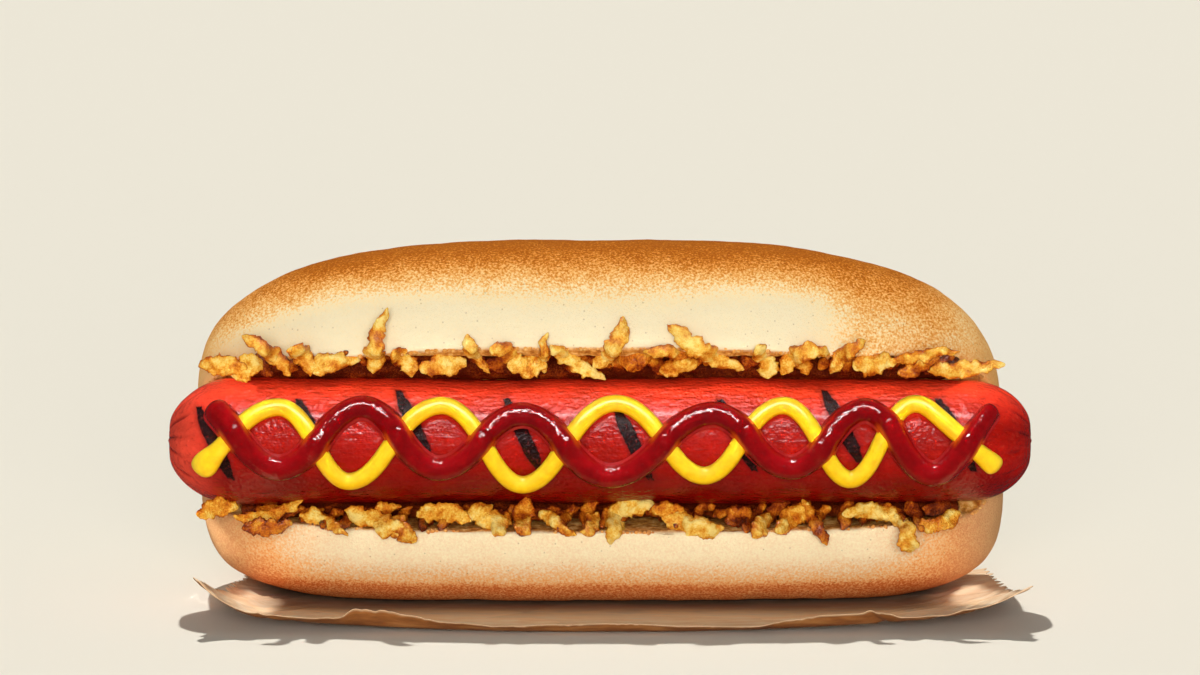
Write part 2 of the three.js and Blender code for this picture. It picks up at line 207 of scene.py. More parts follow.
def scatter(index, prop):
    """A repeatable number from 0 to 1 for a piece's index and a property's index."""
    n = math.sin(index * 12.9898 + prop * 78.233) * 43758.5453
    return n - math.floor(n)


def bell(offset, width):
    """A rounded bump: 1 at no offset, falling off over about the width to either side."""
    return math.exp(-((offset / width) ** 2))


def taper(t, power):
    """A superellipse's half width at t, from 1 in the middle to 0 at either end."""
    return max(0.0, 1 - abs(t) ** power) ** (1 / power)


def wobble(point, size, seed=0):
    """Smooth noise from -1 to 1 whose features are about size across."""
    return noise.noise(point / size + Vector((seed * 17.3, seed * 9.1, seed * 5.7)))


def object_from(bm, name):
    """Makes a bmesh an object in the scene."""
    mesh = bpy.data.meshes.new(name)
    bm.to_mesh(mesh)
    bm.free()
    piece = bpy.data.objects.new(name, mesh)
    bpy.context.scene.collection.objects.link(piece)
    return piece


def mesh_from(bm):
    """Makes a bmesh a mesh to copy."""
    mesh = bpy.data.meshes.new("shape")
    bm.to_mesh(mesh)
    bm.free()
    return mesh


def ball(around, rings):
    """A unit sphere with its poles along Z, kept as a mesh to copy."""
    bm = bmesh.new()
    bmesh.ops.create_uvsphere(bm, u_segments=around, v_segments=rings, radius=1)
    return mesh_from(bm)


def pebble():
    """A unit ball of few faces, kept as a mesh to copy."""
    bm = bmesh.new()
    bmesh.ops.create_icosphere(bm, subdivisions=2, radius=1)
    return mesh_from(bm)


def add_copy(bm, mesh):
    """Adds a copy of a mesh and returns its vertices."""
    before = len(bm.verts)
    bm.from_mesh(mesh)
    bm.verts.ensure_lookup_table()
    return bm.verts[before:]


def apply_modifiers(piece):
    """Gives a piece the mesh that its modifiers make."""
    evaluated = piece.evaluated_get(bpy.context.evaluated_depsgraph_get())
    old = piece.data
    piece.data = bpy.data.meshes.new_from_object(evaluated)
    piece.modifiers.clear()
    bpy.data.meshes.remove(old)


def store(mesh, name, values):
    """Keeps one number a vertex, which a material can read."""
    attribute = mesh.attributes.new(name, "FLOAT", "POINT")
    attribute.data.foreach_set("value", values)


def finish_piece(piece, name, material, stands_for=()):
    """Puts a piece in the row frame and hands it over with its material."""
    piece.name = piece.data.name = name
    piece.data.transform(row_from_layout)
    piece.data.materials.clear()
    piece.data.materials.append(material)
    for polygon in piece.data.polygons:
        polygon.use_smooth = True
    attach(piece, body)
    if stands_for:
        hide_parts(*stands_for)


class Nodes:
    """Adds nodes to one tree, with a value or another node's output for each input."""

    def __init__(self, tree):
        """Starts from an empty tree."""
        self.tree = tree
        tree.nodes.clear()

    def add(self, kind, inputs=None, **settings):
        """A new node with these inputs and settings."""
        node = self.tree.nodes.new(kind)
        for key, value in settings.items():
            setattr(node, key, value)
        for key, value in (inputs or {}).items():
            if isinstance(value, bpy.types.NodeSocket):
                self.tree.links.new(value, node.inputs[key])
            else:
                node.inputs[key].default_value = value
        return node

    def math(self, operation, a, b=0.0, clamp=False):
        """A sum of one or two numbers, held between 0 and 1 if it is clamped."""
        return self.add("ShaderNodeMath", {0: a, 1: b}, operation=operation, use_clamp=clamp).outputs[0]

    def ranged(self, value, start, end, low=0.0, high=1.0, easing="SMOOTHSTEP"):
        """Goes from low to high as the value goes from start to end."""
        inputs = {"Value": value, "From Min": start, "From Max": end, "To Min": low, "To Max": high}
        return self.add("ShaderNodeMapRange", inputs, interpolation_type=easing).outputs["Result"]

    def mix(self, factor, a, b):
        """A colour that goes from a to b as the factor goes from 0 to 1."""
        node = self.add("ShaderNodeMix", data_type="RGBA")
        for socket, value in ((node.inputs[0], factor), (node.inputs[6], a), (node.inputs[7], b)):
            if isinstance(value, bpy.types.NodeSocket):
                self.tree.links.new(value, socket)
            else:
                socket.default_value = value
        return node.outputs[2]

    def ramp(self, factor, stops):
        """A colour that passes through these (position, colour) stops."""
        node = self.add("ShaderNodeValToRGB", {"Fac": factor})
        elements = node.color_ramp.elements
        while len(elements) < len(stops):
            elements.new(0.5)
        for element, (position, color) in zip(elements, stops):
            element.position = position
            element.color = color
        return node.outputs["Color"]

    def noise(self, scale, detail=3.0, roughness=0.55, vector=None):
        """Cloudy noise from 0 to 1."""
        values = {"Scale": scale, "Detail": detail, "Roughness": roughness}
        values["Vector"] = vector or self.place()
        return self.add("ShaderNodeTexNoise", values).outputs["Fac"]

    def cells(self, scale, feature="F1", vector=None, output="Distance"):
        """The distance to the nearest of many scattered points, or another output of that texture."""
        values = {"Scale": scale, "Vector": vector or self.place()}
        return self.add("ShaderNodeTexVoronoi", values, feature=feature).outputs[output]

    def place(self):
        """The place on the piece, in metres."""
        return self.add("ShaderNodeTexCoord").outputs["Object"]

    def layout_place(self):
        """The place in the layout, as x, y and z in millimetres."""
        place = self.add("ShaderNodeSeparateXYZ", {"Vector": self.place()})
        x, y, z = (self.math("MULTIPLY", place.outputs[axis], 1 / MM) for axis in "XYZ")
        return x, self.math("SUBTRACT", y, layout_shift / MM), z

    def attribute(self, name):
        """A number that store kept on the mesh."""
        return self.add("ShaderNodeAttribute", attribute_name=name).outputs["Fac"]

    def bump(self, height, strength, distance, normal=None):
        """A normal that is tilted as if the surface stood up by this height."""
        values = {"Height": height, "Strength": strength, "Distance": distance}
        if normal:
            values["Normal"] = normal
        return self.add("ShaderNodeBump", values).outputs["Normal"]

    def feed(self, node, **outputs):
        """Links outputs to a node's inputs, with an underscore for each space in an input's name."""
        for name, output in outputs.items():
            self.tree.links.new(output, node.inputs[name.replace("_", " ")])


def rgb(red, green, blue):
    """A colour given as it shows on a screen, 0 to 255, in the linear values that shaders use."""
    def linear(c):
        """One channel, from 0 to 1."""
        c /= 255
        return c / 12.92 if c <= 0.04045 else ((c + 0.055) / 1.055) ** 2.4
    return (linear(red), linear(green), linear(blue), 1.0)


def new_material(name, slot_color, **constants):
    """A material and its nodes, with a Principled shader that has these constant values."""
    material = bpy.data.materials.new(name)
    material.use_nodes = True
    material.diffuse_color = slot_color
    nodes = Nodes(material.node_tree)
    shader = nodes.add("ShaderNodeBsdfPrincipled")
    for key, value in constants.items():
        shader.inputs[key.replace("_", " ")].default_value = value
    output = nodes.add("ShaderNodeOutputMaterial")
    nodes.feed(output, Surface=shader.outputs[0])
    return material, nodes, shader


def per_mm(count):
    """A texture scale with this many features a millimetre."""
    return count / MM


# ---- Shared effects ----

def fine_grain_group():
    """Baked or fried grain: specks that lighten and darken, with the height that they stand up."""
    group = bpy.data.node_groups.new("fine_grain", "ShaderNodeTree")
    group.interface.new_socket("Grains per metre", in_out="INPUT", socket_type="NodeSocketFloat")
    group.interface.new_socket("Speck", in_out="OUTPUT", socket_type="NodeSocketFloat")
    group.interface.new_socket("Height", in_out="OUTPUT", socket_type="NodeSocketFloat")
    nodes = Nodes(group)
    given = nodes.add("NodeGroupInput")
    made = nodes.add("NodeGroupOutput")
    scale = given.outputs["Grains per metre"]
    soft = nodes.noise(scale, detail=4.0, roughness=0.65)
    cells = nodes.cells(nodes.math("MULTIPLY", scale, 1.3))
    pits = nodes.ranged(cells, 0.05, 0.6)
    height = nodes.math("ADD", nodes.math("MULTIPLY", pits, 0.4), nodes.math("MULTIPLY", soft, 0.6))
    nodes.feed(made, Speck=nodes.ranged(soft, 0.3, 0.7), Height=height)
    return group


def wet_sparkle_group():
    """The uneven film of a moist surface: small dents that break up its highlights."""
    group = bpy.data.node_groups.new("wet_sparkle", "ShaderNodeTree")
    group.interface.new_socket("Dents per metre", in_out="INPUT", socket_type="NodeSocketFloat")
    group.interface.new_socket("Height", in_out="OUTPUT", socket_type="NodeSocketFloat")
    nodes = Nodes(group)
    given = nodes.add("NodeGroupInput")
    made = nodes.add("NodeGroupOutput")
    scale = given.outputs["Dents per metre"]
    cells = nodes.cells(scale, feature="SMOOTH_F1")
    broad = nodes.noise(nodes.math("MULTIPLY", scale, 0.35), detail=2.0)
    nodes.feed(made, Height=nodes.math("ADD", nodes.math("MULTIPLY", cells, 0.5), broad))
    return group


fine_grain = fine_grain_group()
wet_sparkle = wet_sparkle_group()


def add_grain(nodes, grains_per_mm):
    """The fine grain as (speck, height)."""
    grain = nodes.add("ShaderNodeGroup", node_tree=fine_grain)
    grain.inputs["Grains per metre"].default_value = per_mm(grains_per_mm)
    return grain.outputs["Speck"], grain.outputs["Height"]


def add_film(nodes, dents_per_mm):
    """The height of the wet film."""
    film = nodes.add("ShaderNodeGroup", node_tree=wet_sparkle)
    film.inputs["Dents per metre"].default_value = per_mm(dents_per_mm)
    return film.outputs["Height"]


# ---- Bun ----

def bun_skin_point(unit):
    """Where a point of a unit sphere with its poles along Z goes on the opened bun, before its cut."""
    along = unit.z
    around = math.atan2(unit.y, unit.x)
    c, s = math.cos(around), math.sin(around)
    is_upper = s > 0
    section_power, end_power = upper_powers if is_upper else lower_powers
    reach = (abs(c) ** section_power + abs(s) ** section_power) ** (-1 / section_power)
    rise = bun_top_z - bun_middle_z if is_upper else bun_middle_z - bun_bottom_z + bun_flattened
    y = c * reach * bun_half_depth * taper(along, plan_power)
    z = s * reach * rise * taper(along, end_power)
    if is_upper:
        z -= bun_lean_back * y * (z / rise)
    x = along * bun_half_length - bun_lean_aside * z
    z += bun_middle_z
    dent = hinge_dent * bell(z - hinge_z, hinge_dent_half_height)
    if y > 0:
        y -= dent * (y / bun_half_depth)
    return Vector((x, y + bun_middle_y, max(z, bun_bottom_z)))


def bun_skin():
    """The whole crust, before the mouth is cut."""
    bm = bmesh.new()
    bmesh.ops.create_uvsphere(bm, u_segments=220, v_segments=150, radius=1)
    for v in bm.verts:
        v.co = bun_skin_point(v.co)
    bmesh.ops.remove_doubles(bm, verts=bm.verts, dist=0.001)
    bmesh.ops.recalc_face_normals(bm, faces=bm.faces)
    return bm


def past_lip(lip, inner):
    """Where the line from the inner point through the lip passes beyond the bun."""
    slope = (inner[1] - lip[1]) / (inner[0] - lip[0])
    return (mouth_beyond_y, lip[1] + slope * (mouth_beyond_y - lip[0]))


def mouth_narrowing_at(x):
    """The share of its height that the mouth keeps at x."""
    return 1 - mouth_closing * min(1, abs(x) / bun_half_length) ** 6


def bun_mouth():
    """The wedge that opens the bun from its front to the hinge at its back."""
    outline = [past_lip(lower_lip, mouth_inner[0]), lower_lip, *mouth_inner, upper_lip]
    outline.append(past_lip(upper_lip, mouth_inner[-1]))
    length = 2 * bun_half_length + 20
    bm = bmesh.new()
    end = bm.faces.new([bm.verts.new((-length / 2, y, z)) for y, z in outline])
    pulled = bmesh.ops.extrude_face_region(bm, geom=[end])["geom"]
    moved = [g for g in pulled if isinstance(g, bmesh.types.BMVert)]
    bmesh.ops.translate(bm, verts=moved, vec=(length, 0, 0))
    long_edges = [e for e in bm.edges if abs(e.verts[0].co.x - e.verts[1].co.x) > 1]
    bmesh.ops.subdivide_edges(bm, edges=long_edges, cuts=mouth_cuts)
    for v in bm.verts:
        v.co.z = sausage_z + (v.co.z - sausage_z) * mouth_narrowing_at(v.co.x)
    bmesh.ops.recalc_face_normals(bm, faces=bm.faces)
    return bm


def cut(piece, tool):
    """Cuts a tool's shape out of a piece and removes the tool."""
    modifier = piece.modifiers.new("cut", "BOOLEAN")
    modifier.object = tool
    modifier.operation = "DIFFERENCE"
    modifier.solver = "EXACT"
    apply_modifiers(piece)
    bpy.data.objects.remove(tool)


def bake_at(point):
    """How browned the crust is, from 0 where it stayed pale to 1 where it is darkest."""
    mottle = 0.07 * wobble(point, 9, 1) + 0.06 * wobble(point, 3.5, 2)
    facing = smooth((10 - point.y) / 18)
    if point.z > bun_middle_z:
        browned = top_bake_at(point.x, point.z - bun_middle_z, facing)
        return clamp01(browned + mottle * (0.35 + 0.65 * smooth((browned - 0.1) / 0.4)))
    return clamp01(base_bake_at(point.x, point.z - bun_bottom_z, facing) + 0.6 * mottle)


def top_bake_at(x, over_middle, facing):
    """The crown is brown, and the right end more so than the left, most on the open side."""
    t = clamp01(abs(x + bun_lean_aside * over_middle) / bun_half_length)
    share = over_middle / ((bun_top_z - bun_middle_z) * max(0.05, taper(t, upper_powers[1])))
    crown_from = 0.67 + 0.06 * smooth((abs(x) - 6) / 30)
    crown = clamp01((share - crown_from) / (1 - crown_from))
    right, left = smooth((x - 36) / 20) * facing, smooth((-x - 56) / 18) * facing
    right_end = smooth((x - 60) / 14) * facing
    browned = crown * (1 - 0.1 * right - 0.35 * right_end - 0.5 * left) + 0.2 * left
    return browned + 0.52 * right * (1 - crown)


def base_bake_at(x, over_table, facing):
    """The base is brown where it lay on the tray, and so are both ends, most on the open side."""
    browned = 0.08 + 0.42 * clamp01((10.5 - over_table) / 5.8) + 0.34 * smooth((5.2 - over_table) / 1.8)
    return browned + 0.7 * (1 - browned) * smooth((abs(x) - 50) / 28) * (0.3 + 0.7 * facing)


def bun_roughness_at(point, inside):
    """How far the surface stands out: the crust's soft dents, and torn crumb at the lips and inside."""
    near_lip = bell(min(abs(point.z - upper_lip[1]), abs(point.z - lower_lip[1])), 1.6)
    dents = 0.35 * wobble(point, 21, 3) + 0.18 * wobble(point, 7, 4)
    leather = 0.07 * wobble(point, 2.1, 5)
    torn = 0.28 * wobble(point, 1.9, 6) + 0.25 * wobble(point, 5, 7)
    return lerp(dents + leather + 0.5 * near_lip * torn, torn, inside)


def soft_bun():
    """The crust with the mouth and the sausage's seat cut out, roughened, with loose crumbs added."""
    skin = bun_skin()
    skin_tree = BVHTree.FromBMesh(skin)
    bun = object_from(skin, "bun_skin")
    cut(bun, object_from(bun_mouth(), "mouth"))
    cut(bun, object_from(sausage_skin(gap, rings=90, around=72), "seat"))
    remesh = bun.modifiers.new("even", "REMESH")
    remesh.mode = "VOXEL"
    remesh.voxel_size = bun_mesh_step
    apply_modifiers(bun)
    crumb = [smooth((skin_tree.find_nearest(v.co)[3] - 0.35) / 0.7) for v in bun.data.vertices]
    bake = [bake_at(v.co) for v in bun.data.vertices]
    moves = [v.normal * bun_roughness_at(v.co, inside) for v, inside in zip(bun.data.vertices, crumb)]
    torn_edge = []
    for v, move, inside in zip(bun.data.vertices, moves, crumb):
        v.co += move
        v.co.z = max(v.co.z, bun_bottom_z)
        if 0.1 < inside < 0.9 and v.co.y < torn_edges_end_y:
            torn_edge.append(v.co.copy())
    crumbs = loose_crumbs(torn_edge)
    loose = len(crumbs.vertices)
    bm = bmesh.new()
    bm.from_mesh(bun.data)
    bm.from_mesh(crumbs)
    bm.to_mesh(bun.data)
    bm.free()
    store(bun.data, "crumb", crumb + [crumb_torn] * loose)
    store(bun.data, "bake", bake + [crumb_baked] * loose)
    finish_piece(bun, "side_cut_bun", bun_material(), ["bun"])


def loose_crumbs(torn_edge):
    """Bits that cling to the torn edges of the mouth."""
    bm = bmesh.new()
    one = pebble()
    for i in range(crumb_count):
        middle = torn_edge[int(scatter(i, 1) * len(torn_edge))]
        size = lerp(*crumb_sizes, scatter(i, 2) ** 2)
        for v in add_copy(bm, one):
            offset = v.co * size
            v.co = middle + offset * (1 + 0.5 * wobble(middle + offset, 0.5, 40 + i % 7))
    return mesh_from(bm)


def bun_material():
    """Pale crust that browns in grains, darker crumb where it is torn or cut, and painted shade that greys
    and darkens the lower half towards its ends.
    """
    material, nodes, shader = new_material(
        "baked_crust", rgb(226, 170, 100), Roughness=0.8, Specular_IOR_Level=0.12,
    )
    speck, grain_height = add_grain(nodes, 2.1)
    bake = nodes.attribute("bake")
    spread = nodes.math("MULTIPLY", nodes.math("SUBTRACT", 0.5, speck), 0.5)
    spread = nodes.math("MULTIPLY", spread, nodes.ranged(bake, 0.05, 0.5, 0.45, 1.0))
    browned = nodes.math("ADD", bake, spread, clamp=True)
    upper_crust = nodes.ramp(browned, [
        (0.0, rgb(238, 222, 184)), (0.3, rgb(244, 220, 170)), (0.43, rgb(243, 202, 137)),
        (0.54, rgb(238, 181, 104)), (0.66, rgb(231, 159, 80)), (0.76, rgb(216, 136, 50)),
        (0.88, rgb(196, 112, 28)), (1.0, rgb(170, 89, 18)),
    ])
    lower_crust = nodes.ramp(browned, [
        (0.0, rgb(247, 230, 188)), (0.2, rgb(242, 214, 170)), (0.4, rgb(240, 190, 134)),
        (0.55, rgb(243, 176, 106)), (0.8, rgb(226, 130, 68)), (1.0, rgb(206, 98, 44)),
    ])
    x, _, z = nodes.layout_place()
    near_end = nodes.ranged(nodes.math("ABSOLUTE", x), 62, 80, 0.0, 0.8)
    # Painted shade: the lower half's crust turns a greyer, darker brown towards both ends.
    lower_crust = nodes.mix(near_end, lower_crust, rgb(192, 150, 104))
    low_on_upper = nodes.math("MULTIPLY", near_end, nodes.ranged(z, 58, 46))
    upper_crust = nodes.mix(low_on_upper, upper_crust, rgb(242, 184, 108))
    is_upper = nodes.ranged(z, sausage_z - 5, sausage_z + 5)
    crust = nodes.mix(is_upper, lower_crust, upper_crust)
    toasted_dots = nodes.ranged(nodes.cells(per_mm(0.55)), 0.13, 0.05, 0.0, 0.4)
    crust = nodes.mix(toasted_dots, crust, rgb(140, 96, 50))
    crumb_grain = nodes.noise(per_mm(0.8), detail=4.0)
    crumb = nodes.ramp(crumb_grain, [
        (0.3, rgb(156, 84, 28)), (0.5, rgb(214, 142, 60)), (0.7, rgb(244, 200, 122)),
    ])
    color = nodes.mix(nodes.attribute("crumb"), crust, crumb)
    height = nodes.math("ADD", grain_height, nodes.math("MULTIPLY", crumb_grain, 0.6))
    nodes.feed(shader, Base_Color=color, Normal=nodes.bump(height, 0.9, 0.2 * MM))
    return material


# ---- Sausage ----

def sausage_profile(grow, rings):
    """Points (x, radius) of the skin from the left tip to the right one."""
    straight = sausage_half_length - sausage_end_length
    points = []
    end_rings = rings // 4
    for i in range(end_rings + 1):
        angle = i / end_rings * math.pi / 2
        reach = sausage_end_length * math.cos(angle)
        radius = sausage_radius * math.sin(angle) ** sausage_end_power
        points.append((-straight - reach - grow, radius + (grow if i else 0)))
    body_rings = rings - 2 * end_rings
    middle = [(straight * (2 * i / body_rings - 1), sausage_radius + grow) for i in range(1, body_rings)]
    return points + middle + [(-x, r) for x, r in reversed(points)]


def sausage_skin(grow, rings, around):
    """The skin as a turned shape: dimpled and gathered where each end is tied."""
    bm = bmesh.new()
    profile = [bm.verts.new((x, r, 0)) for x, r in sausage_profile(grow, rings)]
    line = [bm.edges.new(pair) for pair in zip(profile, profile[1:])]
    bmesh.ops.spin(
        bm, geom=profile + line, cent=(0, 0, 0), axis=(1, 0, 0), dvec=(0, 0, 0),
        angle=TAU, steps=around, use_merge=True,
    )
    bmesh.ops.remove_doubles(bm, verts=bm.verts, dist=0.002)
    for v in bm.verts:
        v.co = sausage_point(v.co)
    bmesh.ops.recalc_face_normals(bm, faces=bm.faces)
    return bm


def gathered_at(x):
    """How far the skin is drawn together at x, up to 1 at the tied tips."""
    return smooth((gathered_length - (sausage_half_length - abs(x))) / gathered_length)


def crease_at(x, around):
    """How deep the folds of a tied end are, from 0 to about 2."""
    drift = 0.5 * wobble(Vector((x, 0, 0)), 6, 8)
    ridges = 1 - abs(math.sin(end_folds * around / 2 + drift + (1.1 if x > 0 else 0.3)))
    uneven = 0.6 + 0.6 * wobble(Vector((around * 3, 0, x)), 2.2, 13)
    return gathered_at(x) * ridges ** 2.6 * 2.1 * uneven


def sausage_point(point):
    """Where a point of the turned shape goes, with its swells, its folds, its tips and its dents."""
    x, radius = point.x, math.hypot(point.y, point.z)
    around = math.atan2(point.z, point.y)
    gathered = gathered_at(x)
    crease = fold_depth * crease_at(x, around) * smooth(radius / 4)
    swell = 0.22 * math.sin(x / 13) + 0.12 * math.sin(x / 5.1 + 2 * around)
    r = radius * (1 + swell / sausage_radius) - crease
    dimple = tip_dimple * bell(radius, tip_dimple_radius) * gathered
    nub = tip_nub * bell(radius, tip_nub_radius) * gathered
    x -= math.copysign(dimple - nub, x)
    skin = Vector((x, sausage_y + r * math.cos(around), sausage_z + r * math.sin(around)))
    dents = 0.05 * wobble(skin, 2.6, 9) + 0.12 * wobble(skin, 9, 10)
    return skin + Vector((0, math.cos(around), math.sin(around))) * dents


def grill_marks(nodes, x, height, depth):
    """Masks of the charred bars, which are on the front only, and of the scorched skin round them."""
    ragged = nodes.math("SUBTRACT", nodes.noise(per_mm(0.7), detail=4.0, roughness=0.7), 0.5)
    along = nodes.math("ADD", x, nodes.math("MULTIPLY", height, mark_slant))
    crowded = nodes.math("COSINE", nodes.math("MULTIPLY", x, math.pi / 2 / mark_crowding_reach))
    along = nodes.math("ADD", along, nodes.math("MULTIPLY", crowded, mark_crowding))
    turns = nodes.math("DIVIDE", nodes.math("SUBTRACT", along, first_mark_x), mark_spacing)
    mark_number = nodes.math("ROUND", turns)
    off_mark = nodes.math("MULTIPLY", nodes.math("SUBTRACT", turns, mark_number), mark_spacing)
    off_mark = nodes.math("ADD", off_mark, nodes.math("MULTIPLY", ragged, 0.9))
    off_mark = nodes.math("ABSOLUTE", off_mark)
    shifted = nodes.math("COSINE", nodes.math("MULTIPLY", mark_number, math.pi / 2))
    shifted = nodes.math("MULTIPLY", shifted, mark_shift)
    off_middle = nodes.math("SUBTRACT", nodes.math("ADD", height, shifted), mark_level)
    off_end = nodes.math("ABSOLUTE", off_middle)
    off_end = nodes.math("SUBTRACT", off_end, mark_reach)
    off_end = nodes.math("ADD", off_end, nodes.math("MULTIPLY", ragged, 1.6))
    narrowing = nodes.ranged(off_end, -4.0, 0.4, mark_half_width, mark_half_width * 0.4)
    mark = nodes.ranged(nodes.math("SUBTRACT", off_mark, narrowing), 0.15, -0.15)
    mark = nodes.math("MULTIPLY", mark, nodes.ranged(off_end, 0.2, -0.2))
    mark = nodes.math("MULTIPLY", mark, nodes.ranged(depth, -1.0, -3.0))
    scorched = nodes.ranged(nodes.math("SUBTRACT", off_mark, narrowing), 1.2, -0.2)
    scorched = nodes.math("MULTIPLY", scorched, nodes.ranged(off_end, 1.5, -1.0))
    return mark, scorched


def skin_color(nodes, x, height, streaks, scorched):
    """Red skin with painted light and shade: lighter towards the top and darker towards the bottom,
    painted light on the left tip, painted shade in the folds, blotches, and fine dark and pale streaks.
    """
    share = nodes.ranged(height, -sausage_radius, sausage_radius, easing="LINEAR")
    # Painted light and shade: the skin is lighter towards the top and darker towards the bottom, by its
    # height as seen from a little above.
    skin = nodes.ramp(share, [
        (0.0, rgb(130, 6, 2)), (0.12, rgb(122, 1, 0)), (0.2, rgb(128, 1, 0)), (0.3, rgb(148, 8, 1)),
        (0.42, rgb(160, 13, 2)), (0.62, rgb(158, 14, 4)), (0.75, rgb(204, 38, 22)),
        (0.84, rgb(232, 56, 32)), (0.92, rgb(255, 68, 36)), (1.0, rgb(250, 54, 24)),
    ])
    # Painted light: the left tip is made paler.
    lit_tip = nodes.ranged(x, -72.0, -84.0, 0.0, 0.7)
    skin = nodes.mix(lit_tip, skin, rgb(236, 78, 54))
    # Painted shade in the folds of the tied ends.
    fold_shade = nodes.ranged(nodes.attribute("crease"), 0.15, 0.9, 0.0, 0.75)
    skin = nodes.mix(fold_shade, skin, rgb(120, 12, 12))
    blotches = nodes.ranged(nodes.noise(per_mm(0.16), detail=3.0), 0.3, 0.7, 0.82, 1.12)
    tone = nodes.add("ShaderNodeHueSaturation", {"Value": blotches, "Color": skin}).outputs["Color"]
    dark_specks = nodes.ranged(streaks, 0.56, 0.72, 0.0, 0.4)
    skin = nodes.mix(dark_specks, tone, rgb(104, 12, 10))
    # The pale streaks grow towards the top with the painted light.
    pale_streaks = nodes.math("MULTIPLY", nodes.ranged(streaks, 0.44, 0.3, 0.0, 0.16), share)
    skin = nodes.mix(pale_streaks, skin, rgb(214, 92, 66))
    return nodes.mix(nodes.math("MULTIPLY", scorched, 0.5), skin, rgb(92, 10, 12))


def sausage_material():
    """Taut, glossy grilled skin with charred bars."""
    material, nodes, shader = new_material(
        "grilled_skin", rgb(168, 40, 30), Coat_Roughness=0.1, Specular_IOR_Level=0.4,
    )
    x, y, z = nodes.layout_place()
    depth = nodes.math("SUBTRACT", y, sausage_y)
    height = nodes.math(
        "ADD",
        nodes.math("MULTIPLY", nodes.math("SUBTRACT", z, sausage_z), math.cos(viewer_elevation)),
        nodes.math("MULTIPLY", depth, math.sin(viewer_elevation)),
    )
    mark, scorched = grill_marks(nodes, x, height, depth)
    drawn_out = nodes.add("ShaderNodeMapping", {"Vector": nodes.place(), "Scale": (0.22, 1.0, 1.0)})
    streaks = nodes.noise(per_mm(1.3), detail=3.0, vector=drawn_out.outputs["Vector"])
    skin = skin_color(nodes, x, height, streaks, scorched)
    char = nodes.ramp(nodes.noise(per_mm(1.6), detail=4.0), [
        (0.35, rgb(10, 1, 2)), (0.58, rgb(40, 6, 7)), (0.75, rgb(100, 18, 16)),
    ])
    wet_height = nodes.math("ADD", add_film(nodes, 1.5), nodes.math("MULTIPLY", streaks, 0.8))
    wet = nodes.bump(wet_height, 0.95, 0.4 * MM)
    burnt = nodes.noise(per_mm(1.8), detail=4.0)
    burnt = nodes.math("MULTIPLY", burnt, nodes.math("MULTIPLY", mark, 1.6))
    sunk = nodes.math("SUBTRACT", burnt, mark)
    nodes.feed(
        shader,
        Base_Color=nodes.mix(mark, skin, char),
        Roughness=nodes.ranged(mark, 0.0, 1.0, 0.17, 0.24),
        Coat_Weight=nodes.ranged(mark, 0.0, 1.0, 0.2, 0.0),
        Normal=nodes.bump(sunk, 0.7, 0.35 * MM, wet),
    )
    return material


def grilled_sausage():
    """The whole sausage, whose vertices keep how deep in a fold they lie."""
    sausage = object_from(sausage_skin(0.0, rings=230, around=180), "sausage_skin")
    creases = []
    for v in sausage.data.vertices:
        around = math.atan2(v.co.z - sausage_z, v.co.y - sausage_y)
        creases.append(clamp01(crease_at(v.co.x, around)))
    store(sausage.data, "crease", creases)
    finish_piece(sausage, "grilled_sausage", sausage_material(), ["sausage"])


# ---- Sauces ----

def swing(turns, x, rounding):
    """The height at x of a line that swings from turn to turn, straight between rounded turns."""
    i = 0
    while i < len(turns) - 2 and turns[i + 1][0] <= x:
        i += 1
    (x0, h0), (x1, h1) = turns[i], turns[i + 1]
    start, end = rounding[:2] if h1 > h0 else rounding[1::-1]
    if i == 0:
        start = 0
    if i == len(turns) - 2:
        start, end = rounding[2], 0
    s = clamp01((x - x0) / (x1 - x0))
    steepness = 1 / (1 - (start + end) / 2)
    if s < start:
        rise = steepness * s * s / (2 * start)
    elif 1 - s < end:
        rise = 1 - steepness * (1 - s) ** 2 / (2 * end)
    else:
        rise = steepness * (s - start / 2)
    return h0 + (h1 - h0) * rise


def skin_radius_at(x):
    """The sausage's radius at x, rounded off at its ends."""
    past = clamp01((abs(x) - sausage_half_length + sausage_end_length) / sausage_end_length)
    return sausage_radius * (1 - past * past) ** (sausage_end_power / 2)


def on_sausage(x, arc, raised):
    """A point over the sausage's skin, arc millimetres round it from its front."""
    angle = arc / sausage_radius
    r = skin_radius_at(x) + raised
    return Vector((x, sausage_y - r * math.cos(angle), sausage_z + r * math.sin(angle)))


def arc_at(turns, x, rounding):
    """How far round the skin a line lies at x."""
    return sausage_radius * (viewer_elevation + math.asin(swing(turns, x, rounding) / sausage_radius))


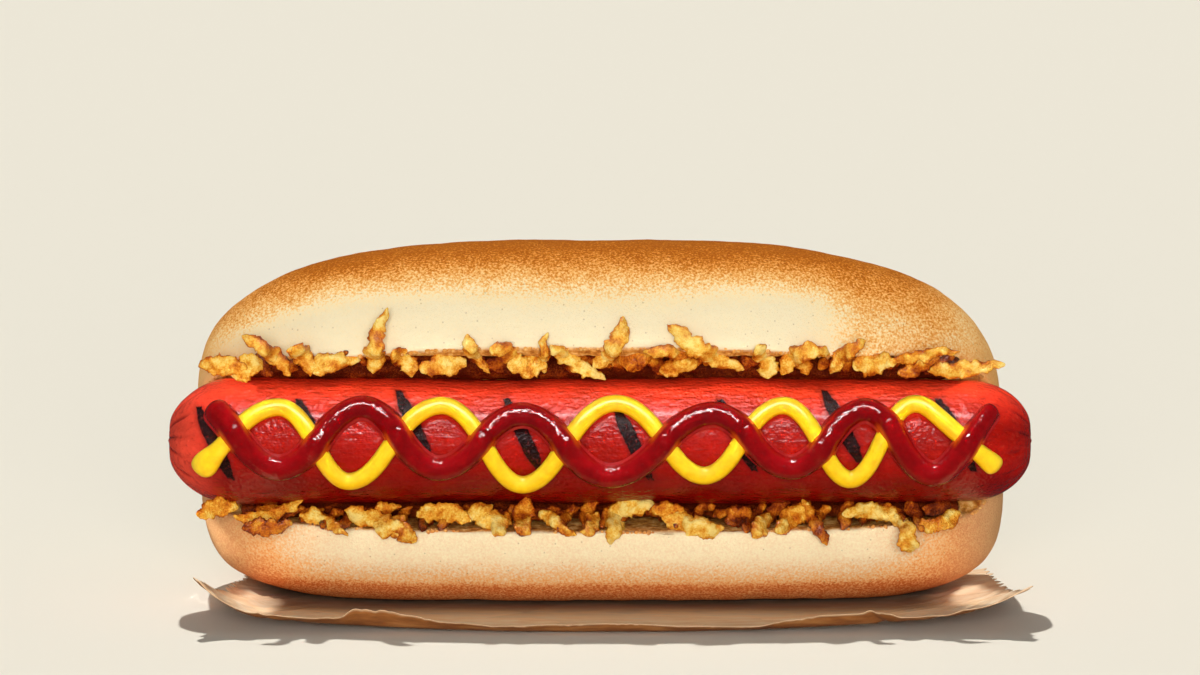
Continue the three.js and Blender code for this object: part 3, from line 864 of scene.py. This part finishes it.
def sauce_bead(turns, rounding, size_at, section, lift_at, rings, around):
    """A closed bead of sauce along the sausage.

    section(angle, size) gives (across, height) over the skin, and size_at(x) and lift_at(x) the bead's
    width and how far it is raised.
    Each vertex keeps how thin the sauce is there, how much it lies on the bead's lower side, and where
    it lies on the skin as (x, arc).
    """
    first, last = turns[0][0], turns[-1][0]
    bm = bmesh.new()
    thin = bm.verts.layers.float.new("thin")
    low_side = bm.verts.layers.float.new("low_side")
    places = []
    bmesh.ops.create_uvsphere(bm, u_segments=around, v_segments=rings, radius=1)
    for v in bm.verts:
        t = math.acos(max(-1.0, min(1.0, -v.co.z))) / math.pi
        angle = math.atan2(v.co.y, v.co.x)
        x = lerp(first, last, t)
        step = 0.3
        back, ahead = max(first, x - step), min(last, x + step)
        rise = arc_at(turns, ahead, rounding) - arc_at(turns, back, rounding)
        heading = Vector((ahead - back, rise)).normalized()
        size = size_at(x)
        from_end = min(x - first, last - x) / max(0.1, heading.x)
        cap = math.sqrt(max(0.0, 1 - (1 - min(1.0, from_end / (size / 2))) ** 2))
        across, height = section(angle, size)
        side = Vector((-heading.y, heading.x)) * across * cap
        arc = arc_at(turns, x, rounding) + side.y
        v.co = on_sausage(x + side.x, arc, height * cap + lift_at(x) * cap)
        v[thin] = abs(math.cos(angle)) if angle > 0 else 1.0
        v[low_side] = 0.5 - 0.5 * math.cos(angle) * heading.x
        places.append((x + side.x, arc))
    bmesh.ops.recalc_face_normals(bm, faces=bm.faces)
    return bm, places


def mustard_size(x):
    """The mustard's width at x: a blob where it starts and a smaller one where it stops."""
    blob = 1.5 * bell(x - mustard_turns[0][0] - 2.3, 1.9)
    end = 0.5 * bell(x - mustard_turns[-1][0] + 1.6, 1.8)
    return mustard_width + blob + end + 0.22 * wobble(Vector((x, 0, 0)), 7, 11)


def mustard_section(angle, size):
    """A round bead, a little sunk into the skin."""
    height = mustard_height * (size / mustard_width) ** 0.5
    return size / 2 * math.cos(angle), height / 2 * (1 + math.sin(angle)) - mustard_sunk


def ketchup_size(x):
    """The ketchup's width at x: wider where it starts and drawn out where it stops."""
    head = 0.7 * bell(x - ketchup_turns[0][0] - 2.2, 2.6)
    tail = -1.2 * smooth((x - ketchup_turns[-1][0] + 7) / 7)
    return ketchup_width + head + tail + 0.3 * wobble(Vector((x, 0, 0)), 9, 12)


def ketchup_section(angle, size):
    """A dome on a thin skirt that has run out over the skin."""
    c, s = math.cos(angle), math.sin(angle)
    foot, skirt = 0.5, 0.5
    if s > 0:
        return size / 2 * c, foot + s * (ketchup_height - ketchup_sunk - foot)
    run_out = math.sin(math.pi * min(1.0, -s * 1.5))
    return (size / 2 + skirt * run_out) * c, foot * (1 + 1.6 * s) - ketchup_sunk * s * s


def crossing_at(x):
    """How much the ketchup lies over the mustard at x."""
    apart = swing(ketchup_turns, x, ketchup_rounding) - swing(mustard_turns, x, mustard_rounding)
    return bell(apart, crossing_reach)


def mustard_material():
    """Smooth yellow sauce with a few specks, more orange on its lower side as painted shade and paler on
    its upper side as painted light.
    """
    material, nodes, shader = new_material(
        "mustard", rgb(246, 206, 20), Roughness=0.34, Specular_IOR_Level=0.4, Coat_Weight=0.3,
        Coat_Roughness=0.15,
    )
    color = nodes.ramp(nodes.noise(per_mm(0.5), detail=4.0), [
        (0.3, rgb(236, 178, 4)), (0.55, rgb(246, 200, 10)), (0.75, rgb(248, 212, 34)),
    ])
    specks = nodes.ranged(nodes.cells(per_mm(1.3)), 0.13, 0.06)
    color = nodes.mix(nodes.math("MULTIPLY", specks, 0.3), color, rgb(214, 146, 10))
    low_side = nodes.attribute("low_side")
    # Painted shade makes the bead's lower side more orange, and painted light makes its upper side paler.
    color = nodes.mix(nodes.ranged(low_side, 0.5, 1.0, 0.0, 0.5), color, rgb(226, 140, 2))
    color = nodes.mix(nodes.ranged(low_side, 0.5, 0.1, 0.0, 0.5), color, rgb(252, 226, 60))
    nodes.feed(shader, Base_Color=color, Normal=nodes.bump(add_film(nodes, 0.5), 0.18, 0.2 * MM))
    return material


def mustard_line():
    """The mustard, which lies straight on the skin."""
    bead, _ = sauce_bead(
        mustard_turns, mustard_rounding, mustard_size, mustard_section,
        lambda x: 0.0, rings=560, around=24,
    )
    finish_piece(object_from(bead, "mustard_line"), "mustard_line", mustard_material())


def off_mustard(places):
    """How far each place on the skin is from the middle of the mustard."""
    first, last = mustard_turns[0][0], mustard_turns[-1][0]
    count = int((last - first) / 0.4)
    middle = KDTree(count + 1)
    for i in range(count + 1):
        x = lerp(first, last, i / count)
        middle.insert((x, arc_at(mustard_turns, x, mustard_rounding), 0), i)
    middle.balance()
    return [middle.find((x, arc, 0))[2] for x, arc in places]


def ketchup_material():
    """Dark red sauce with painted light on its upper side, painted shade on its lower side and a painted
    highlight along its thin edge, with the mustard showing orange through where the ketchup is over it.
    """
    material, nodes, shader = new_material(
        "ketchup", rgb(140, 8, 14), Roughness=0.1, Coat_Weight=0.15, Coat_Roughness=0.05,
        Specular_IOR_Level=0.6,
    )
    base = nodes.ramp(nodes.noise(per_mm(0.4), detail=3.0), [
        (0.3, rgb(112, 0, 2)), (0.55, rgb(132, 0, 4)), (0.8, rgb(150, 4, 7)),
    ])
    low_side = nodes.attribute("low_side")
    # Painted shade darkens the bead's lower side, and painted light brightens its upper side.
    base = nodes.mix(nodes.ranged(low_side, 0.45, 0.95, 0.0, 0.6), base, rgb(84, 0, 3))
    base = nodes.mix(nodes.ranged(low_side, 0.5, 0.1, 0.0, 0.55), base, rgb(180, 10, 20))
    thin = nodes.attribute("thin")
    # Painted highlight: a pale pink line along the bead's thin outer edge.
    rim_highlight = nodes.ranged(thin, 0.93, 1.0, 0.0, 0.6)
    base = nodes.mix(rim_highlight, base, rgb(190, 44, 44))
    seen_through = nodes.ranged(thin, 0.6, 0.97, 0.0, 0.9)
    glow = nodes.math("MULTIPLY", nodes.attribute("over_mustard"), seen_through)
    color = nodes.mix(glow, base, rgb(214, 84, 14))
    nodes.feed(shader, Base_Color=color, Normal=nodes.bump(add_film(nodes, 1.5), 0.8, 0.24 * MM))
    return material


def ketchup_line():
    """The ketchup, which is lifted over the mustard and keeps where it lies over it."""
    bead, places = sauce_bead(
        ketchup_turns, ketchup_rounding, ketchup_size, ketchup_section,
        lambda x: ketchup_lift * crossing_at(x), rings=620, around=32,
    )
    ketchup = object_from(bead, "ketchup_line")
    store(ketchup.data, "over_mustard", [smooth((2.9 - off) / 1.6) for off in off_mustard(places)])
    finish_piece(ketchup, "ketchup_line", ketchup_material())


# ---- Fried onions ----

def onion_place(x, height, wander):
    """Where a point of the row that shows lies: inside the mouth, or in front of a lip that it passes."""
    inside_y = onion_shown_y + wander
    z = sausage_z + height / math.cos(viewer_elevation)
    z += (sausage_y - inside_y) * math.tan(viewer_elevation)
    past = max(z - upper_lip[1], lower_lip[1] - z)
    outside_y = upper_lip[0] - gap - onion_thickness / 2 + onion_lean_on_bun * max(0, past)
    return Vector((x, lerp(inside_y, outside_y, smooth(1 + past / 2.5)), z))


def batter(point, seed):
    """How high the fried batter stands, in millimetres: blisters with creases between them."""
    bubble = 0.55 - noise.voronoi(point / 1.25 + seed)[0][0]
    small = 0.5 - noise.voronoi(point / 0.55 - seed)[0][0]
    return 0.34 * bubble + 0.3 * small + 0.5 * noise.noise(point / 1.9 + seed)


def strip_path(row, index, depth):
    """A strip's middle line, as a function of t that goes from 0 at its left end to 1 at its right one."""
    x, height, lean, length, _, bow, _ = row
    turn = math.radians(lean)
    c, s = math.cos(turn), math.sin(turn)

    def path(t):
        """The place at t."""
        run = (t - 0.5) * length
        arch = 4 * bow * length * (t - t * t - 1 / 6)
        kink = 0.5 * noise.noise(Vector((t * length / 2.6, index * 7.1, 0)))
        wander = depth + 1.2 * (scatter(index, 1) - 0.5) + 0.5 * math.sin(index * 2.4 + t * 4)
        return onion_place(x + c * run - s * (arch + kink), height + s * run + c * (arch + kink), wander)
    return path


def frame_on(path, t):
    """The place at t on a path, with the directions across it and out to the front."""
    ahead = (path(min(1, t + 0.01)) - path(max(0, t - 0.01))).normalized()
    outward = Vector((0, -1, 0))
    outward = (outward - ahead * outward.dot(ahead)).normalized()
    return path(t), ahead.cross(outward), outward


def onion_strip(bm, blank, row, index, shades, depth=0.0):
    """One crisp strip: flat, cupped, twisted, ragged at its edges and bubbly all over."""
    _, _, _, length, width, _, darkness = row
    path = strip_path(row, index, depth)
    taper_share = 0.45 if scatter(index, 3) > 0.6 else 0.1
    cup = lerp(-0.6, 0.6, scatter(index, 4))
    twist = lerp(-0.6, 0.6, scatter(index, 5))
    seed = Vector((index * 3.7, index * 1.9, index * 5.3))
    frames = {}
    for v in add_copy(bm, blank):
        ring = round(v.co.z, 4)
        t = 0.5 - ring / 2
        if ring not in frames:
            frames[ring] = frame_on(path, t)
        middle, side, outward = frames[ring]
        round_end = max(0.0, 1 - abs(ring) ** 3) ** 0.7
        angle = math.atan2(v.co.y, v.co.x)
        cos_a, sin_a = math.cos(angle), math.sin(angle)
        edge = Vector((t * length / 1.6, math.copysign(4.0, cos_a) + index * 3.1, 0))
        ragged = 1 + abs(cos_a) * (0.42 * noise.noise(edge) + 0.25 * noise.noise(edge * 2.7))
        half = width / 2 * round_end * (1 - taper_share * t) * ragged
        thickness = onion_thickness / 2 * round_end * 0.66
        across = cos_a * half
        out = sin_a * thickness + cup * (across / (width / 2)) ** 2 * 1.3
        out += 0.7 * noise.noise(Vector((t * length / 3.0, across / 2.5, index * 2.3)))
        swirl = twist * (t - 0.5)
        across, out = (
            across * math.cos(swirl) - out * math.sin(swirl),
            across * math.sin(swirl) + out * math.cos(swirl),
        )
        point = middle + side * across + outward * out
        off_face = side * (cos_a / max(0.3, half)) + outward * (sin_a / max(0.2, thickness))
        off_face = off_face.normalized() if off_face.length > 0.001 else outward
        puff = batter(point, seed)
        v.co = point + off_face * puff * (0.35 + 0.65 * round_end)
        # Each vertex's tone: the strip's own darkness and browner edges, with painted highlight that pales
        # its blisters and painted shade that darkens its creases.
        shades.append(clamp01(0.75 * darkness + 0.36 * abs(cos_a) ** 5 - 0.75 * puff))


def strips_behind(rows, seed, raised):
    """Shorter strips that fill the row behind the ones that show, darker with painted shade."""
    level = sum(row[1] for row in rows) / len(rows) + raised
    behind = []
    for i in range(strips_behind_count):
        k = seed + i
        x = lerp(-69, 70, (i + 0.3 + 0.4 * scatter(k, 1)) / strips_behind_count)
        height = level + 1.6 * (scatter(k, 2) - 0.5)
        lean = lerp(-60, 60, scatter(k, 3))
        length = lerp(5.5, 8.5, scatter(k, 4)) * lerp(1.0, 0.7, abs(lean) / 60)
        width = lerp(2.6, 3.8, scatter(k, 5))
        # Painted shade: the strips behind are given a high darkness.
        behind.append((x, height, lean, length, width, 0.1, lerp(0.75, 1.1, scatter(k, 6))))
    return behind


def onion_filler(bm, z, half_height, shades):
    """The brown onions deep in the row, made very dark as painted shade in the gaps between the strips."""
    for v in add_copy(bm, ball(56, 260)):
        t = 2 * math.acos(max(-1.0, min(1.0, v.co.z))) / math.pi - 1
        angle = math.atan2(v.co.y, v.co.x)
        narrow = taper(t, 9)
        across, up = math.sin(angle) * narrow, math.cos(angle) * narrow
        y = filler_y + across * filler_half_depth
        point = Vector((t * filler_half_length, y, z + up * half_height))
        lumps = 0.9 * wobble(point, 3.0, 20) + 0.6 * wobble(point, 1.3, 21)
        v.co = point + Vector((0, math.sin(angle), 0.3 * math.cos(angle))) * lumps
        # Painted shade: the filler is very dark.
        shades.append(clamp01(1.05 - 0.25 * lumps))


def fried_onions(name, node, rows, material, first_index, filler_z, filler_half_height, behind_raised):
    """One heaped row: its filler, the strips that show and the ones behind them, the filler and those
    darker with painted shade.
    """
    bm = bmesh.new()
    shades = []
    onion_filler(bm, filler_z, filler_half_height, shades)
    fine, coarse = ball(40, 64), ball(20, 32)
    for i, row in enumerate(rows):
        onion_strip(bm, fine, row, first_index + i, shades)
    first_behind = 100 + first_index
    for i, row in enumerate(strips_behind(rows, first_behind, behind_raised)):
        onion_strip(bm, coarse, row, first_behind + i, shades, depth=strips_behind_depth)
    bmesh.ops.recalc_face_normals(bm, faces=bm.faces)
    onions = object_from(bm, name)
    # Each vertex keeps its browning with painted highlight and painted shade.
    store(onions.data, "fry_and_shade", shades)
    finish_piece(onions, name, material, [node])


def onion_material():
    """Crisp batter, browner at its edges, with painted highlight that makes its blisters pale gold and
    painted shade that makes its creases and the heap's depths dark brown.
    """
    material, nodes, shader = new_material(
        "crisp_onion", rgb(220, 160, 70), Roughness=0.24, Specular_IOR_Level=0.5, Coat_Weight=0.1,
        Coat_Roughness=0.08,
    )
    speck, grain_height = add_grain(nodes, 2.6)
    broad = nodes.math("SUBTRACT", nodes.noise(per_mm(0.25), detail=3.0), 0.5)
    # The stored tone holds the browning with painted highlight and painted shade.
    fry_and_shade = nodes.math("ADD", nodes.attribute("fry_and_shade"), nodes.math("MULTIPLY", broad, 0.7))
    fine = nodes.math("MULTIPLY", nodes.math("SUBTRACT", 0.5, speck), 0.24)
    fry_and_shade = nodes.math("ADD", fry_and_shade, fine, clamp=True)
    color = nodes.ramp(fry_and_shade, [
        (0.0, rgb(255, 222, 124)), (0.18, rgb(248, 194, 74)), (0.36, rgb(232, 150, 36)),
        (0.55, rgb(204, 104, 16)), (0.78, rgb(144, 54, 8)), (1.0, rgb(84, 24, 4)),
    ])
    nodes.feed(shader, Base_Color=color, Normal=nodes.bump(grain_height, 1.0, 0.36 * MM))
    return material


# ---- Paper ----

def roll_height(x):
    """How high the front edge is rolled up at x."""
    for (x0, h0), (x1, h1) in zip(paper_roll, paper_roll[1:]):
        if x <= x1:
            return lerp(h0, h1, smooth((x - x0) / (x1 - x0)))
    return paper_roll[-1][1]


def paper_lift(x, y):
    """How far the paper is off the table at x, y."""
    forward = smooth((paper_flat_back_from_y - y) / (paper_flat_back_from_y - paper_front_y))
    bow = paper_bow * (x / paper_bow_half_length) ** 2 * forward
    left = x < 0
    end_x = -paper_front_corners[0] if left else paper_front_corners[1]
    curl = paper_end_curls[0] if left else paper_end_curls[1]
    past_flat = max(0.0, abs(x) - paper_end_curl_from) / (end_x - paper_end_curl_from)
    from_back = (paper_back_y - y) / (paper_back_y - paper_front_y)
    end = curl * past_flat ** 2 * lerp(paper_end_curl_at_back, 1, from_back)
    near_front = clamp01((paper_front_y + paper_roll_depth - y) / paper_roll_depth)
    roll = roll_height(x) * near_front ** 1.5
    if abs(x) <= paper_end_curl_from and y >= paper_flat_back_from_y:
        return 0.0
    return max(paper_clear_off_flat * smooth(forward * 6), bow + end + roll)


def row_share(v):
    """How far back a row of the sheet's grid lies, from 0 to 1. The rows are closest at the front."""
    return (v + 0.5) ** 1.6


def sheet_place(u, v):
    """Where a point of the flat sheet lies before it is lifted, with u and v from -0.5 to 0.5.

    Both ends are torn in teeth, and the front edge is slightly nicked.
    """
    share = row_share(v)
    y = lerp(paper_front_y, paper_back_y, share)
    left = lerp(paper_front_corners[0], paper_back_corners[0], share)
    right = lerp(paper_front_corners[1], paper_back_corners[1], share)
    x = lerp(left, right, u + 0.5)
    teeth = abs((y * 2 * paper_teeth_per_mm) % 2 - 1) * paper_teeth_depth
    torn = teeth + 0.5 * wobble(Vector((0, y, 0)), 2, 30)
    x -= torn * (smooth((u - 0.48) / 0.02) - smooth((-0.48 - u) / 0.02))
    nicked = 0.35 * wobble(Vector((x, 0, 0)), 1.1, 33) + 0.5 * wobble(Vector((x, 0, 0)), 3.7, 34)
    edge_reach = 1.2
    return x, y + edge_reach * max(0.0, nicked) * smooth(1 - (y - paper_front_y) / edge_reach)


def sheet_creases(x, y):
    """Fine creases towards the ends, and one fold across the front at the right."""
    away = smooth((abs(x) - 46) / 26) * smooth((8 - y) / 24)
    crease = 0.6 * (1 - abs(wobble(Vector((x * 0.6 - y * 0.55, y * 0.2, 0)), 3.0, 31))) ** 4
    fold = 0.48 * bell(x - 54.5 - (y + 48) * 0.7, 1.0) * smooth((-40 - y) / 6)
    return crease * away + fold


def greaseproof_sheet():
    """The sheet, whose vertices keep how near a free edge they lie and which side they are on."""
    bm = bmesh.new()
    bmesh.ops.create_grid(bm, x_segments=380, y_segments=120, size=0.5)
    free_edge = bm.verts.layers.float.new("free_edge")
    for v in bm.verts:
        off_side = 0.5 - abs(v.co.x)
        off_front = row_share(v.co.y) * (paper_back_y - paper_front_y)
        v[free_edge] = max(smooth((0.45 - off_front) / 0.3), smooth((0.003 - off_side) / 0.002))
        x, y = sheet_place(v.co.x, v.co.y)
        v.co = Vector((x, y, paper_lift(x, y) + paper_thickness / 2 + sheet_creases(x, y)))
    sheet = object_from(bm, "greaseproof_sheet")
    wall = sheet.modifiers.new("thickness", "SOLIDIFY")
    wall.thickness = paper_thickness
    wall.offset = 0
    apply_modifiers(sheet)
    mesh = sheet.data
    store(mesh, "underside", [smooth(0.5 - 2 * v.normal.z) for v in mesh.vertices])
    finish_piece(sheet, "greaseproof_sheet", paper_material(), ["paper"])


def paper_material():
    """Pale, fibrous paper inside, with painted shade: browner outside, uneven on each facet, and dark
    under the bun; and a painted highlight along its free edges.
    """
    material, nodes, shader = new_material(
        "greaseproof", rgb(222, 186, 140), Roughness=0.55, Specular_IOR_Level=0.3,
    )
    grain_run = nodes.add("ShaderNodeMapping", {"Vector": nodes.place(), "Scale": (0.3, 1.0, 1.0)})
    grain_run.inputs["Rotation"].default_value = (0, 0, math.radians(-28))
    fibre = nodes.noise(per_mm(0.5), detail=5.0, vector=grain_run.outputs["Vector"])
    inside = nodes.ramp(fibre, [
        (0.3, rgb(240, 198, 150)), (0.5, rgb(252, 218, 176)), (0.7, rgb(255, 234, 202)),
    ])
    # Painted shade: the outside is browner than the inside.
    outside = nodes.ramp(fibre, [
        (0.3, rgb(126, 74, 36)), (0.5, rgb(160, 98, 48)), (0.7, rgb(190, 130, 72)),
    ])
    # Painted shade: each facet of the crumpled sheet is made a little lighter or darker.
    facet_shade = nodes.cells(per_mm(0.11), vector=grain_run.outputs["Vector"], output="Color")
    facet_shade = nodes.ranged(facet_shade, 0.2, 0.8, 0.84, 1.0)
    inside = nodes.add("ShaderNodeHueSaturation", {"Value": facet_shade, "Color": inside}).outputs["Color"]
    x, y, _ = nodes.layout_place()
    # Painted shade: the paper darkens under and just in front of the bun.
    contact_shade = nodes.math("ADD", y, nodes.math("MULTIPLY", nodes.math("SUBTRACT", fibre, 0.5), 8))
    contact_shade = nodes.ranged(contact_shade, -38.0, -24.0, 0.0, 0.8)
    contact_shade = nodes.math("MULTIPLY", contact_shade, nodes.ranged(nodes.math("ABSOLUTE", x), 74.0, 62.0))
    inside = nodes.mix(contact_shade, inside, rgb(52, 32, 19))
    color = nodes.mix(nodes.attribute("underside"), inside, outside)
    # Painted highlight: a paler line along the free edges.
    edge_highlight = nodes.math("MULTIPLY", nodes.attribute("free_edge"), 0.3)
    color = nodes.mix(edge_highlight, color, rgb(246, 214, 168))
    nodes.feed(shader, Base_Color=color, Normal=nodes.bump(fibre, 0.3, 0.2 * MM))
    return material


# ---- Studio ----

camera_aim = Vector((0, 0.002, 0.0527))  # in metres, as are the distances
camera_distance = 1.2
camera_lens, camera_sensor = 180, 36  # in millimetres
spot_distance = 0.15
spot_elevation, spot_width = 52, 18  # in degrees


def add_lamp(name, kind, strength):
    """A lamp's object and its settings."""
    lamp = bpy.data.lights.new(name, kind)
    lamp.energy = strength
    light = bpy.data.objects.new(name, lamp)
    bpy.context.scene.collection.objects.link(light)
    return light, lamp


def sun(name, elevation, azimuth, strength, spread):
    """Light from far away. An azimuth of 0 is behind the camera and 180 is behind the food."""
    light, lamp = add_lamp(name, "SUN", strength)
    lamp.angle = math.radians(spread)
    light.rotation_euler = (math.radians(90 - elevation), 0, math.radians(azimuth))
    light.visible_glossy = False


def aim_at(light, aim, elevation, azimuth, distance):
    """Puts a lamp at a distance from a place in the layout and turns it to that place."""
    turn = Matrix.Rotation(math.radians(azimuth), 3, "Z")
    angle = math.radians(elevation)
    towards = turn @ Vector((0, -math.cos(angle), math.sin(angle)))
    light.location = row_from_layout @ Vector(aim) + distance * towards
    light.rotation_euler = (math.pi / 2 - angle, 0, math.radians(azimuth))


def panel_light(name, aim, elevation, distance, size, strength):
    """A rectangular lamp in front, with its long side level.

    Its size is in metres and its strength is for each square metre.
    """
    light, lamp = add_lamp(name, "AREA", strength * size[0] * size[1])
    lamp.shape = "RECTANGLE"
    lamp.size, lamp.size_y = size
    aim_at(light, aim, elevation, 0, distance)
    return light


def slit_spot(name, aim, azimuth, strength, slit):
    """A spot beside the food whose slit of light falls on one end of the paper, past the sausage."""
    light, lamp = add_lamp(name, "SPOT", strength)
    lamp.spot_size = math.radians(spot_width)
    lamp.spot_blend = 0.2
    lamp.shadow_soft_size = 1 * MM
    aim_at(light, aim, spot_elevation, azimuth, spot_distance)
    light.scale = (1, slit, 1)
    light.visible_glossy = False


def studio_floor():
    """A plain pale floor that shiny surfaces don't mirror."""
    bm = bmesh.new()
    bmesh.ops.create_grid(bm, x_segments=1, y_segments=1, size=6)
    floor = object_from(bm, "studio_floor")
    material, _, shader = new_material(
        "pale_floor", rgb(236, 229, 213), Roughness=1.0, Specular_IOR_Level=0.0,
    )
    shader.inputs["Base Color"].default_value = rgb(236, 230, 214)
    floor.data.materials.append(material)
    floor.visible_glossy = False


def studio_light():
    """Sun from behind and above, soft light from the front, and lamps for the sausage and the paper."""
    world = bpy.data.worlds.new("studio")
    world.use_nodes = True
    bpy.context.scene.world = world
    background = world.node_tree.nodes["Background"]
    background.inputs["Color"].default_value = (1, 1, 1, 1)
    background.inputs["Strength"].default_value = 0.06
    sun("key_from_behind", elevation=60.4, azimuth=189, strength=2.65, spread=1.0)
    sun("fill_from_front", elevation=40, azimuth=0, strength=0.36, spread=80)
    sun("low_front", elevation=4.5, azimuth=0, strength=3.6, spread=40)
    slit_spot("spot_on_left_end", aim=(-69.4, -27, 3), azimuth=-90, strength=1.55, slit=0.13)
    slit_spot("spot_on_right_end", aim=(76.0, -27, 3), azimuth=90, strength=1.0, slit=0.14)
    strip = panel_light(
        "strip_on_sausage", aim=(0, sausage_y - 4.4, sausage_z - 2.9), elevation=57, distance=0.25,
        size=(0.16, 0.015), strength=2.3,
    )
    strip.data.spread = math.radians(3)
    strip.visible_glossy = False
    shine = panel_light(
        "strip_for_shine", aim=(0, sausage_y, sausage_z), elevation=57, distance=0.3,
        size=(0.2, 0.035), strength=100.0,
    )
    shine.visible_diffuse = False


def camera():
    """A long lens from the front, a little above."""
    data = bpy.data.cameras.new("camera")
    data.lens, data.sensor_width = camera_lens, camera_sensor
    data.clip_end = 50
    cam = bpy.data.objects.new("camera", data)
    back = Vector((0, -math.cos(viewer_elevation), math.sin(viewer_elevation)))
    cam.location = camera_aim + back * camera_distance
    cam.rotation_euler = (math.pi / 2 - viewer_elevation, 0, 0)
    bpy.context.scene.collection.objects.link(cam)
    bpy.context.scene.camera = cam


# ---- The whole ----

crisp_onion = onion_material()
camera()
soft_bun()
grilled_sausage()
mustard_line()
ketchup_line()
fried_onions(
    "fried_onions_top", "onions_upper", upper_onions, crisp_onion, first_index=0,
    filler_z=48.0, filler_half_height=3.1, behind_raised=-0.7,
)
fried_onions(
    "fried_onions_bottom", "onions_lower", lower_onions, crisp_onion, first_index=len(upper_onions),
    filler_z=19.2, filler_half_height=2.2, behind_raised=1.2,
)
greaseproof_sheet()
studio_floor()
studio_light()
bpy.context.scene.view_settings.view_transform = "Standard"
